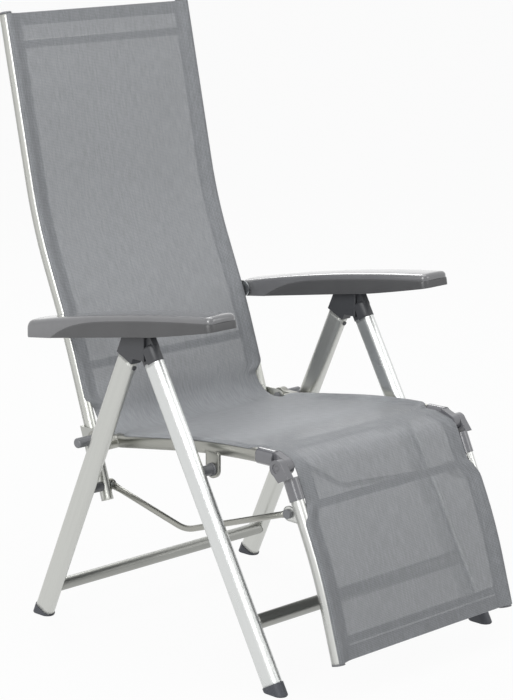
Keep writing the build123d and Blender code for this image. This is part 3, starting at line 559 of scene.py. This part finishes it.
lap_corner = crossing(back_line[2], unit(*back_line[2:4]), seat_line[0], unit(*seat_line[:2]))
seat_way = unit(*seat_line[1:3])
crease_corner = crossing(seat_line[1], seat_way, (crease_y, 0), (0, 1))
crease_heading = atan2(seat_way[1], seat_way[0]) + crease_turn
knee_corner = crossing(crease_corner, (cos(crease_heading), sin(crease_heading)),
                       footrest_line[0], unit(*footrest_line[:2]))
corners = [back_line[0], back_line[1], back_line[2], lap_corner, seat_line[1], crease_corner, knee_corner,
           footrest_line[1], footrest_line[2]]
radii = [back_bend_radii[0] - sling_level, back_bend_radii[1] + sling_level, lap_radius,
         seat_bend_radius + sling_level, crease_radius, knee_radius, footrest_bend_radius + sling_level]
print("corners", len(corners), "radii", [round(radius, 4) for radius in radii])

# %% [markdown]
# Runs and arcs. Every corner becomes an arc that meets its neighbours along straight runs. Each piece
# is kept as its length, its start, its heading there and how fast it bends, which is all that finding
# a point on it needs, and it gives the cloth's true length.

# %% Runs and arcs
top_drop = 0.0006
bottom_lift = 0.001

course = []
start = corners[0]
for number, radius in enumerate(radii):
    way_in = unit(corners[number], corners[number + 1])
    way_out = unit(corners[number + 1], corners[number + 2])
    heading_in = atan2(way_in[1], way_in[0])
    bend = (atan2(way_out[1], way_out[0]) - heading_in + pi) % (2 * pi) - pi
    tangent = radius * tan(abs(bend) / 2)
    arc_start = tuple(corners[number + 1][axis] - way_in[axis] * tangent for axis in (0, 1))
    course.append((hypot(arc_start[0] - start[0], arc_start[1] - start[1]), start, heading_in, 0.0))
    course.append((radius * abs(bend), arc_start, heading_in, bend / (radius * abs(bend))))
    start = tuple(corners[number + 1][axis] + way_out[axis] * tangent for axis in (0, 1))
last_run = hypot(corners[-1][0] - start[0], corners[-1][1] - start[1])
course.append((last_run, start, atan2(way_out[1], way_out[0]), 0.0))
course_length = sum(piece[0] for piece in course)
sling_start = top_drop
sling_end = course_length - bottom_lift
print("course", len(course), "pieces,", round(course_length, 4), "m")

# %% [markdown]
# Places along the cloth. An upholsterer measures along the cloth, so a function turns a length along
# it into a point of the side view, and a second one finds how far along a height or depth is reached.
# They mark where the lap and the knees begin and end.

# %% Places along the cloth
lap_top_z = 0.450
lap_front_y = 0.096
knee_rear_y = -0.258
knee_low_z = 0.344
search_step = 0.001


def course_point(along):
    left = along
    for length, start, heading, bend in course:
        if left <= length or (length, start, heading, bend) == course[-1]:
            if bend == 0:
                return (start[0] + cos(heading) * left, start[1] + sin(heading) * left, heading)
            turned = heading + bend * left
            return (start[0] + (sin(turned) - sin(heading)) / bend,
                    start[1] - (cos(turned) - cos(heading)) / bend, turned)
        left -= length


def first_along(reached, after=0.0):
    while after < course_length and not reached(*course_point(after)[:2]):
        after += search_step
    return after


lap_from = first_along(lambda y, z: z <= lap_top_z)
lap_to = first_along(lambda y, z: y <= lap_front_y, lap_from)
seat_middle = first_along(lambda y, z: y <= 0.0, lap_to)
knee_from = first_along(lambda y, z: y <= knee_rear_y, seat_middle)
knee_to = first_along(lambda y, z: z <= knee_low_z, knee_from)
print("lap from", round(lap_from, 3), "to", round(lap_to, 3), "knee from", round(knee_from, 3),
      "to", round(knee_to, 3))

# %% [markdown]
# The free bends. The cloth is cut and hemmed flat, as on the bench, and then laid along the course,
# which moves every vertex once. At the lap and the knees no rail holds its edges, so there it is drawn
# in by 20 mm at each side. A smooth step from 0 to 1 and back says how free the cloth is.

# %% Drawn in at the bends
half_width = 0.2435
drawn_in = 0.0205
draw_length = 0.026
knee_lead = 0.018
let_out_length = 0.050
let_out_end = 0.034


def smooth(value):
    value = min(max(value, 0.0), 1.0)
    return value * value * (3 - 2 * value)


def freedom(along):
    # 0 where the rails hold the cloth and 1 at the two free bends, where it is drawn in
    lap = smooth((along - lap_from) / draw_length) * smooth((lap_to - along) / draw_length)
    early = knee_from - knee_lead
    knee = smooth((along - early) / draw_length) * smooth((knee_to + let_out_end - along) / let_out_length)
    return max(lap, knee)


print("drawn in by", drawn_in * 1000, "mm, at the lap", round(freedom((lap_from + lap_to) / 2), 2))

# %% [markdown]
# Over the rails. Along its sides the cloth climbs from its level between the rails and lies over
# their rounded fronts, where its beaded edge is caught in a slot. A rail's front is close to an
# ellipse with fuller corners, so a power of 2.6 stands for it instead of the circle's 2.

# %% Over the rails
rail_x = 0.236
rail_half_width = 0.010
rail_half_depth = 0.0135
rail_fullness = 2.6
rail_edge = 0.97
rise_from = 0.212
over_layers = 0.0021
lie_down_at = 0.95
lie_down_span = 0.35


def over_rail(x, along):
    # Where the cloth is let out again after a bend, it is up before its edge comes over the rail
    beside = min(max((abs(x) - rail_x) / rail_half_width, -1.0), rail_edge)
    if beside < 0:
        risen = smooth((abs(x) - rise_from) / (rail_x - rise_from))
        rise = (rail_half_depth + over_layers) * risen + sling_level * (1 - risen)
    else:
        rise = over_layers + rail_half_depth * (1 - beside ** rail_fullness) ** (1 / rail_fullness)
    return (rise - sling_level) * smooth((lie_down_at - freedom(along)) / lie_down_span)


print("over the rail's middle by", round(over_rail(rail_x, seat_middle) * 1000, 2), "mm")

# %% [markdown]
# Sag, ripples and folds. Between two bars the stretched cloth hangs by a few millimetres. It is never
# quite smooth either, so a slow noise ripples it, and soft folds spread from the corners of the lap,
# where the pull turns. Code draws them instead of a simulation, because a tight panel barely moves.

# %% Sag, ripples and folds
back_bars_z = (1.124, 0.505)
seat_bars_y = (0.092, -0.252)
footrest_bars_z = (0.341, 0.104)
bars_along = [first_along(lambda y, z: z <= back_bars_z[0]), first_along(lambda y, z: z <= back_bars_z[1]),
              first_along(lambda y, z: y <= seat_bars_y[0], lap_from),
              first_along(lambda y, z: y <= seat_bars_y[1], lap_to),
              first_along(lambda y, z: z <= footrest_bars_z[0], knee_from),
              first_along(lambda y, z: z <= footrest_bars_z[1], knee_to)]
bar_sag = 0.001
back_sag = 0.007
lap_sag = 0.006
seat_sag = 0.006
knee_sag = 0.0015
footrest_sag = 0.003
sags = [bar_sag, back_sag, lap_sag, seat_sag, knee_sag, footrest_sag, bar_sag]
ripple_size = 0.11
ripple_narrower = 1.6
ripple_layer = 3.7
ripple_height = 0.0012
fold_height = 0.0022
fold_spread = 0.05
fold_reach = 0.16
fold_turns = 2.4
fold_slant = 2.6
fold_gain = 3


def sag_at(along):
    # Between two bars the cloth hangs in a smooth bow, and at a bar it only just clears it
    stops = [sling_start] + bars_along + [sling_end]
    for number, (low, high) in enumerate(zip(stops, stops[1:])):
        if along <= high or number == len(stops) - 2:
            share = min(max((along - low) / (high - low), 0.0), 1.0)
            return bar_sag + (sags[number] - bar_sag) * sin(pi * share) ** 2


def slack(x, along):
    share = min(abs(x) / half_width, 1.0)
    held = 1 - share ** 2
    ripple = noise.noise(Vector((x / ripple_size * ripple_narrower, along / ripple_size, ripple_layer)))
    near_lap = smooth(1 - abs(along - (lap_from + lap_to) / 2) / fold_reach)
    fold = sin((along - lap_to) / fold_spread * fold_turns + share * fold_slant)
    fold = fold * near_lap * share ** 2 * held * fold_gain
    return -sag_at(along) * held + ripple * ripple_height * min(1.0, held * 2) + fold * fold_height


print("bars along the cloth", [round(value, 3) for value in bars_along])

# %% [markdown]
# Laying. Flat, x runs across the chair, y along the cloth and z is the height above it. A vertex goes
# to its place on the course, and out from it by its height, its sag and its rise over the rails.


# %% Laying the cloth
def lay(flat):
    along = flat.y
    y, z, heading = course_point(along)
    lift = flat.z + slack(flat.x, along) + over_rail(flat.x, along)
    x = flat.x * (1 - drawn_in * freedom(along) / half_width)
    return Vector((x, y + hub_y + sin(heading) * lift, z - cos(heading) * lift))


print("middle of the seat laid at", [round(value, 4) for value in lay(Vector((0, seat_middle, 0)))])

# %% [markdown]
# Helpers for mesh work. The pieces below are cut by planes, closed along open edges, turned to face
# outwards and given smooth faces with hard lines, so each of these steps has a short function.

# %% Mesh helpers
hard_line_from = 35


def only(kind, made):
    return [item for item in made["geom"] if isinstance(item, kind)]


def boundary(form):
    return [edge for edge in form.edges if edge.is_boundary]


def cut(form, place, outwards, clear=False):
    bmesh.ops.bisect_plane(form, geom=form.verts[:] + form.edges[:] + form.faces[:],
                           plane_co=place, plane_no=outwards, clear_outer=clear)


def turn_top_up(form):
    # An open sheet's faces all turn one way, which is made to be upwards at its highest face
    bmesh.ops.recalc_face_normals(form, faces=form.faces)
    if max(form.faces, key=lambda face: face.calc_center_median().z).normal.z < 0:
        bmesh.ops.reverse_faces(form, faces=form.faces)


def smooth_look(form, sharp_from=hard_line_from):
    # Smooth faces, with a hard line where two of them meet at more than sharp_from degrees
    for face in form.faces:
        face.smooth = True
    for edge in form.edges:
        edge.smooth = len(edge.link_faces) == 2 and edge.calc_face_angle(0) < radians(sharp_from)


def finish_piece(form, name, material):
    mesh = bpy.data.meshes.new(name)
    form.to_mesh(mesh)
    form.free()
    mesh.materials.append(material)
    piece = bpy.data.objects.new(name, mesh)
    scene.collection.objects.link(piece)
    return piece


print("hard lines from", hard_line_from, "degrees")

# %% [markdown]
# One panel in two pieces. The real panel is one length, but it crosses two joints, so it is made as
# a back piece and a front piece that meet in the middle of the seat, where the cloth never bends.
# Each starts as a grid in its flat cut size. The hems are folded under by extruding the border down
# and back inwards, and the whole is given the cloth's thickness before it is laid.

# %% Cutting, hemming and laying
cloth_thickness = 0.0008
fold_gap = 0.0001
side_hem = 0.0375
end_hem = 0.024
side_hem_columns = 6
end_hem_rows = 4
row_length = 0.006
column_count = 26
rail_columns = (0.205, 0.211, 0.217, 0.223, 0.229, 0.234, 0.239)


def fold_under(cloth, edges, drop, inwards, count):
    # Turns a border under by drop and brings it back inwards in so many steps
    for move in [Vector((0, 0, -drop))] + [Vector(inwards) / count] * count:
        made = bmesh.ops.extrude_edge_only(cloth, edges=edges)
        new = only(bmesh.types.BMVert, made)
        known = set(new)
        edges = [edge for edge in only(bmesh.types.BMEdge, made) if set(edge.verts) <= known]
        bmesh.ops.translate(cloth, verts=new, vec=move)


def sling_piece(name, low, high, hem_at_low, hem_at_high):
    cloth = bmesh.new()
    rows = round((high - low) / row_length)
    bmesh.ops.create_grid(cloth, x_segments=column_count, y_segments=rows, size=1)
    bmesh.ops.scale(cloth, verts=cloth.verts, vec=(half_width, (high - low) / 2, 1))
    for column in rail_columns:
        for side in (-1, 1):
            cut(cloth, (side * column, 0, 0), (1, 0, 0))
    bmesh.ops.translate(cloth, verts=cloth.verts, vec=(0, (high + low) / 2, 0))
    borders = boundary(cloth)
    tiny = row_length / 100

    def on_border(axis, value):
        return [edge for edge in borders
                if all(abs(vertex.co[axis] - value) < tiny for vertex in edge.verts)]

    sides = [(on_border(0, side * half_width), -side) for side in (-1, 1)]
    ends = [(on_border(1, end), inward) for end, inward, hemmed in (
        (low, 1, hem_at_low), (high, -1, hem_at_high)) if hemmed]
    for edges, inward in sides:
        fold_under(cloth, edges, fold_gap, (inward * side_hem, 0, 0), side_hem_columns)
    for edges, inward in ends:
        fold_under(cloth, edges, 2 * fold_gap + cloth_thickness, (0, inward * end_hem, 0), end_hem_rows)
    turn_top_up(cloth)
    bmesh.ops.solidify(cloth, geom=cloth.faces[:], thickness=-cloth_thickness)
    flat_map = cloth.loops.layers.uv.new("UVMap")
    for face in cloth.faces:
        for loop in face.loops:
            loop[flat_map].uv = loop.vert.co.xy
    smooth_look(cloth, sharp_from=40)
    heights = [vertex.co.z for vertex in cloth.verts]
    print(name, "flat from", round(min(heights) * 1000, 2), "to", round(max(heights) * 1000, 2), "mm,",
          len(cloth.faces), "faces")
    for vertex in cloth.verts:
        vertex.co = lay(vertex.co)
    return finish_piece(cloth, name, sling_cloth)


back_cloth = sling_piece("sling_back", sling_start, seat_middle, True, False)
front_cloth = sling_piece("sling_front", seat_middle, sling_end, False, True)

# %% [markdown]
# Hem stitches. A lockstitch row holds each hem, a few millimetres inside its folded edge. Each stitch
# is a small flattened bead that goes through both layers, so it shows on both sides. There are
# nearly a thousand, so each has only twenty faces.

# %% Hem stitches
stitch_pitch = 0.0045
stitch_length = 0.0032
stitch_width = 0.0008
stitch_margin = 0.003
stitch_height = cloth_thickness * 2.7


def stitch_rows(name, low, high, end_row):
    seam = bmesh.new()
    across = half_width - side_hem
    spots = []
    for number in range(int((high - low) / stitch_pitch)):
        for side in (-1, 1):
            spots.append((side * (across + stitch_margin), low + (number + 0.5) * stitch_pitch, 0))
    for number in range(int(2 * across / stitch_pitch)):
        spots.append((-across + (number + 0.5) * stitch_pitch, end_row, 1))
    for x, along, crosswise in spots:
        shape = Matrix.Diagonal((stitch_width / 2, stitch_length / 2, stitch_height / 2, 1))
        turned = Matrix.Rotation(pi / 2 * crosswise, 4, "Z")
        bmesh.ops.create_icosphere(seam, subdivisions=1, radius=1,
                                   matrix=Matrix.Translation((x, along, -fold_gap / 2)) @ turned @ shape)
    for face in seam.faces:
        face.smooth = True
    for vertex in seam.verts:
        vertex.co = lay(vertex.co)
    print(name, len(spots), "stitches")
    return finish_piece(seam, name, thread_grey)


hem_inset = end_hem - stitch_margin
back_stitches = stitch_rows("hem_stitches_back", sling_start, seat_middle, sling_start + hem_inset)
front_stitches = stitch_rows("hem_stitches_front", seat_middle, sling_end, sling_end - hem_inset)

# %% [markdown]
# The cloth pieces and their stitches are baked where they lie, and the plain panels of the solid model are
# hidden.

# %% Cloth in place
knee_trim = 0.02


def side_place(along):
    y, z, heading = course_point(along)
    return (0, y + hub_y, z)


for piece in (back_cloth, back_stitches):
    side_place(lap_from)
    side_place(lap_to)
    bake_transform(piece)
for piece in (front_cloth, front_stitches):
    side_place(knee_from + knee_trim)
    side_place(knee_to - knee_trim)
    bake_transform(piece)
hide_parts("back_sling")
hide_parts("seat_sling", "footrest_sling")

# %% [markdown]
# The armrests. Each is moulded in two shells: a satin cap, whose rounded rear end reaches down to the
# lower edge, and a darker skirt that stands a little proud of it, so that its upper ledge draws a
# light line along the side. The solids have the sizes and the toothed ribs, but plain ends, so both
# shells are made again from their side outlines. Two curves carry these: the shallow bow of the crown,
# and the seam between cap and skirt.

# %% Crown and seam of the armrest
crown_points = ((0.271, 0.607), (0.015, 0.654), (-0.2235, 0.6834))
cap_band = 0.010
groove_low = (0.213, 0.5835)
groove_dives_from = 0.012


def crown_height(y):
    total = 0
    for own in crown_points:
        share = own[1]
        for other in crown_points:
            if other is not own:
                share *= (y - other[0]) / (own[0] - other[0])
        total += share
    return total


def groove_height(y):
    # The seam under the cap follows the crown and dives to the lower edge at the rear
    reach = max(0.0, (y - groove_dives_from) / (groove_low[0] - groove_dives_from))
    fall = crown_height(groove_low[0]) - groove_low[1] - cap_band
    return crown_height(y) - cap_band - fall * reach ** 4


print("crown at the middle", round(crown_height(0), 4), "seam", round(groove_height(0), 4))

# %% [markdown]
# The outlines in the side view. The cap's is its crown, the rounded rear end and the seam back to the
# front. The skirt's is the seam and a lower edge, straight behind the hub and hollow before it.

# %% Armrest outlines
cap_front = crown_points[2][0]
cap_sides = (0.2598, 0.3252)
cap_rear_end = 0.2835
cap_rear_radius = 0.0155
cap_rear_foot = [(cap_rear_end, 0.580), (cap_rear_end - 0.0045, 0.5752)]
cap_under_ends = (0.209, cap_front - 0.0012)
front_low = (-0.2275, 0.660)
low_middle = (-0.039, 0.623)
skirt_proud = 0.0018
skirt_seam_ends = (front_low[0] + 0.0025, groove_low[0] - 0.002)
skirt_under_rear = groove_low[0] - 0.004
skirt_clear = 0.0006
skirt_hollow = 1.12
shell_wall = 0.003


def steps(start, end, count):
    return [start + (end - start) * number / count for number in range(count + 1)]


cap_top = [(y, crown_height(y)) for y in steps(cap_front, cap_rear_end - cap_rear_radius, 30)]
corner_z = cap_top[-1][1] - cap_rear_radius
cap_rear = [(cap_rear_end - cap_rear_radius + cap_rear_radius * sin(turn),
             corner_z + cap_rear_radius * cos(turn)) for turn in steps(0.0, pi / 2, 6)[1:]] + cap_rear_foot
cap_under = [groove_low] + [(y, groove_height(y)) for y in steps(*cap_under_ends, 34)]
skirt_seam = [(y, groove_height(y)) for y in steps(*skirt_seam_ends, 34)]
rear_slope = (low_middle[1] - groove_low[1]) / (groove_low[0] - low_middle[0])
skirt_under = [(y, groove_low[1] + rear_slope * (groove_low[0] - y) + skirt_clear)
               for y in steps(skirt_under_rear, low_middle[0], 8)]
for y in steps(low_middle[0], front_low[0], 10)[1:]:
    forward = (low_middle[0] - y) / (low_middle[0] - front_low[0])
    skirt_under.append((y, low_middle[1] + (front_low[1] - low_middle[1]) * forward ** skirt_hollow))
print("cap outline", len(cap_top + cap_rear + cap_under), "points, skirt", len(skirt_seam + skirt_under))

# %% [markdown]
# One function makes a shell from the two halves of its outline: the part that stays closed and the
# underside that is left open. A face is extruded across, its corners are bevelled, its top is bowed,
# the underside is taken away and the wall gets its thickness.

# %% Armrest shells
front_depth = 0.006
front_facing = 0.6
down_facing = -0.5
sharp_rim = radians(50)
bow_cuts = (-0.6, -0.35, 0.0, 0.35, 0.6)


def round_edges(form, edges, radius, segments):
    bmesh.ops.bevel(form, geom=edges, offset=radius, segments=segments, profile=0.5, affect="EDGES",
                    material=-1)


def side_shell(name, closed, opened, sides, front_radius, edge_radius, bow, material):
    form = bmesh.new()
    ring = [form.verts.new((sides[0], y + hub_y, z)) for y, z in closed + opened]
    start = form.faces.new(ring)
    far_ring = only(bmesh.types.BMVert, bmesh.ops.extrude_face_region(form, geom=[start]))
    bmesh.ops.translate(form, verts=far_ring, vec=(sides[1] - sides[0], 0, 0))
    bmesh.ops.recalc_face_normals(form, faces=form.faces)
    front_y = min(vertex.co.y for vertex in form.verts)
    posts = [edge for edge in form.edges if abs(edge.verts[0].co.x - edge.verts[1].co.x) < 1e-6
             and all(vertex.co.y < front_y + front_depth for vertex in edge.verts)
             and any(abs(face.normal.y) > front_facing for face in edge.link_faces)]
    round_edges(form, posts, front_radius, 6)
    rims = [edge for edge in form.edges if len(edge.link_faces) == 2
            and edge.calc_face_angle(0) > sharp_rim
            and all(face.normal.z > down_facing for face in edge.link_faces)]
    round_edges(form, rims, edge_radius, 4)
    under = [face for face in form.faces if face.normal.z < down_facing]
    bmesh.ops.delete(form, geom=under, context="FACES")
    middle = (sides[0] + sides[1]) / 2
    half = sides[1] - middle
    for share in bow_cuts:
        cut(form, (middle + share * half, 0, 0), (1, 0, 0))
    for vertex in form.verts:
        vertex.co.z += bow * max(0.0, 1 - ((vertex.co.x - middle) / half) ** 2)
    turn_top_up(form)
    bmesh.ops.solidify(form, geom=form.faces[:], thickness=-shell_wall)
    smooth_look(form)
    widths = [vertex.co.x for vertex in form.verts]
    print(name, len(form.faces), "faces,", len(boundary(form)), "open edges, x from",
          round(min(widths), 4), "to", round(max(widths), 4))
    return finish_piece(form, name, material)


def mirrored(piece, name):
    twin = bmesh.new()
    twin.from_mesh(piece.data)
    bmesh.ops.scale(twin, verts=twin.verts, vec=(-1, 1, 1))
    bmesh.ops.reverse_faces(twin, faces=twin.faces)
    return finish_piece(twin, name, piece.data.materials[0])


skirt_sides = (cap_sides[0] - skirt_proud, cap_sides[1] + skirt_proud)
cap_left = side_shell("armrest_cap_left", cap_top + cap_rear, cap_under, cap_sides, 0.010, 0.005, 0.0016,
                      cap_plastic)
skirt_left = side_shell("armrest_skirt_shell_left", skirt_seam, skirt_under, skirt_sides, 0.010, 0.0018, 0.0,
                        armrest_plastic)
armrest_pieces = {"left": [cap_left, skirt_left],
                  "right": [mirrored(cap_left, "armrest_cap_right"),
                            mirrored(skirt_left, "armrest_skirt_shell_right")]}

# %% [markdown]
# The toothed ribs under each armrest rest on the hub's pin. Those of the solid are right as they are,
# so they are cut from a copy of it: what lies outside each rib's two faces and behind its two ends
# goes, and every cut is closed. Their upper edges end inside the new cap's wall.

# %% Armrest ribs
rib_places = ((0.2709, 0.2751), (0.3049, 0.3091))
rib_ends = (-0.219, 0.262)
both_sides = {"left": 1, "right": -1}


def ribs(side, sign):
    kept = bmesh.new()
    for low_x, high_x in rib_places:
        part = bmesh.new()
        part.from_mesh(nodes["armrest_top_" + side].data)
        bmesh.ops.remove_doubles(part, verts=part.verts, dist=1e-6)
        cuts = [((sign * low_x, 0, 0), (-sign, 0, 0)), ((sign * high_x, 0, 0), (sign, 0, 0)),
                ((0, rib_ends[0] + hub_y, 0), (0, -1, 0)), ((0, rib_ends[1] + hub_y, 0), (0, 1, 0))]
        for place, outwards in cuts:
            cut(part, place, outwards, clear=True)
            bmesh.ops.holes_fill(part, edges=boundary(part))
        mesh = bpy.data.meshes.new("rib_cut")
        part.to_mesh(mesh)
        part.free()
        kept.from_mesh(mesh)
        bpy.data.meshes.remove(mesh)
    print("ribs", side, len(kept.faces), "faces,", len(boundary(kept)), "open edges")
    return finish_piece(kept, "armrest_ribs_" + side, armrest_plastic)


for side, sign in both_sides.items():
    armrest_pieces[side].append(ribs(side, sign))
    for piece in armrest_pieces[side]:
        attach(piece, side + "_armrest")
    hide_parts("armrest_top_" + side)
    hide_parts("armrest_skirt_" + side)
print("armrest pieces", [piece.name for piece in armrest_pieces["left"] + armrest_pieces["right"]])

# %% [markdown]
# The hub's front cover. On the real chair the moulded hub ends in a short oval collar round the top
# of each front leg. The solid hub stops at the leg's end there, so the collar is added: a circle is
# pulled out into the leg's oval, extruded along the leg, rounded at its top and cut off behind, where
# the rear leg has to swing past.

# %% Hub collars
leg_x = 0.290
leg_top = (hub_y, 0.638)
leg_lean = radians(29.4)
collar_half_depth = 0.0228
collar_half_width = 0.0134
collar_from = 0.046
collar_to = 0.0805
collar_rear_cut = 0.004
top_ring_z = -0.001
low_ring_z = -0.02
collar_top_round = 0.006
collar_foot_round = 0.0008


def hub_collar(side, sign):
    form = bmesh.new()
    bmesh.ops.create_circle(form, cap_ends=True, segments=48, radius=collar_half_width)
    pull = collar_half_depth - collar_half_width
    for vertex in form.verts:
        vertex.co.y += pull if vertex.co.y > 0 else -pull
    low_ring = only(bmesh.types.BMVert, bmesh.ops.extrude_face_region(form, geom=form.faces[:]))
    bmesh.ops.translate(form, verts=low_ring, vec=(0, 0, -(collar_to - collar_from)))
    bmesh.ops.recalc_face_normals(form, faces=form.faces)
    rims = [edge for edge in form.edges if edge.calc_face_angle(0) > sharp_rim
            and all(vertex.co.z > top_ring_z for vertex in edge.verts)]
    round_edges(form, rims, collar_top_round, 4)
    foot = [edge for edge in form.edges if edge.calc_face_angle(0) > sharp_rim
            and all(vertex.co.z < low_ring_z for vertex in edge.verts)]
    round_edges(form, foot, collar_foot_round, 2)
    cut(form, (0, collar_rear_cut, 0), (0, 1, 0), clear=True)
    bmesh.ops.holes_fill(form, edges=boundary(form))
    bmesh.ops.recalc_face_normals(form, faces=form.faces)
    bmesh.ops.translate(form, verts=form.verts, vec=(0, 0, -collar_from))
    bmesh.ops.rotate(form, verts=form.verts, cent=(0, 0, 0), matrix=Matrix.Rotation(-leg_lean, 3, "X"))
    bmesh.ops.translate(form, verts=form.verts, vec=(sign * leg_x, *leg_top))
    smooth_look(form)
    piece = finish_piece(form, "hub_collar_" + side, hub_plastic)
    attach(piece, "front_frame")
    return piece


hub_collars = [hub_collar(side, sign) for side, sign in both_sides.items()]
print("hub collars", [piece.name for piece in hub_collars])

# %% [markdown]
# The shoes. A real shoe is a plug in the leg's end, and little more than its wedge shows between the
# square-cut leg and the floor. The solid shoe has a high collar round the leg, so it is copied, its
# loose triangles are merged, and a plane square to the leg cuts it: a little above the front leg's
# end, which leaves a low collar whose rim is bridged, and just below the rear leg's, which is filled.

# %% Shoes
leg_gap = 0.014
leg_feet = {"front": (-0.3595, 0.0185, "front_frame"), "rear": (0.2955, 0.0139, "rear_frame")}


def shoe(end, side, sign):
    foot_reach, shoe_cut, body = leg_feet[end]
    form = bmesh.new()
    form.from_mesh(nodes[f"{end}_foot_{side}"].data)
    bmesh.ops.remove_doubles(form, verts=form.verts, dist=1e-6)
    up_leg = Vector((0, -foot_reach, leg_top[1])).normalized()
    leg_end = Vector((sign * leg_x, foot_reach + hub_y, 0)) + up_leg * shoe_cut
    cut(form, leg_end, up_leg, clear=True)
    if shoe_cut > leg_gap:
        bmesh.ops.bridge_loops(form, edges=boundary(form))
    else:
        bmesh.ops.holes_fill(form, edges=boundary(form))
    bmesh.ops.recalc_face_normals(form, faces=form.faces)
    smooth_look(form)
    print("shoe", end, side, len(form.faces), "faces,", len(boundary(form)), "open edges")
    piece = finish_piece(form, f"{end}_shoe_{side}", shoe_plastic)
    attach(piece, body)
    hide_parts(f"{end}_foot_{side}")
    return piece


shoes = [shoe(end, side, sign) for end in leg_feet for side, sign in both_sides.items()]
print("shoes", [piece.name for piece in shoes])
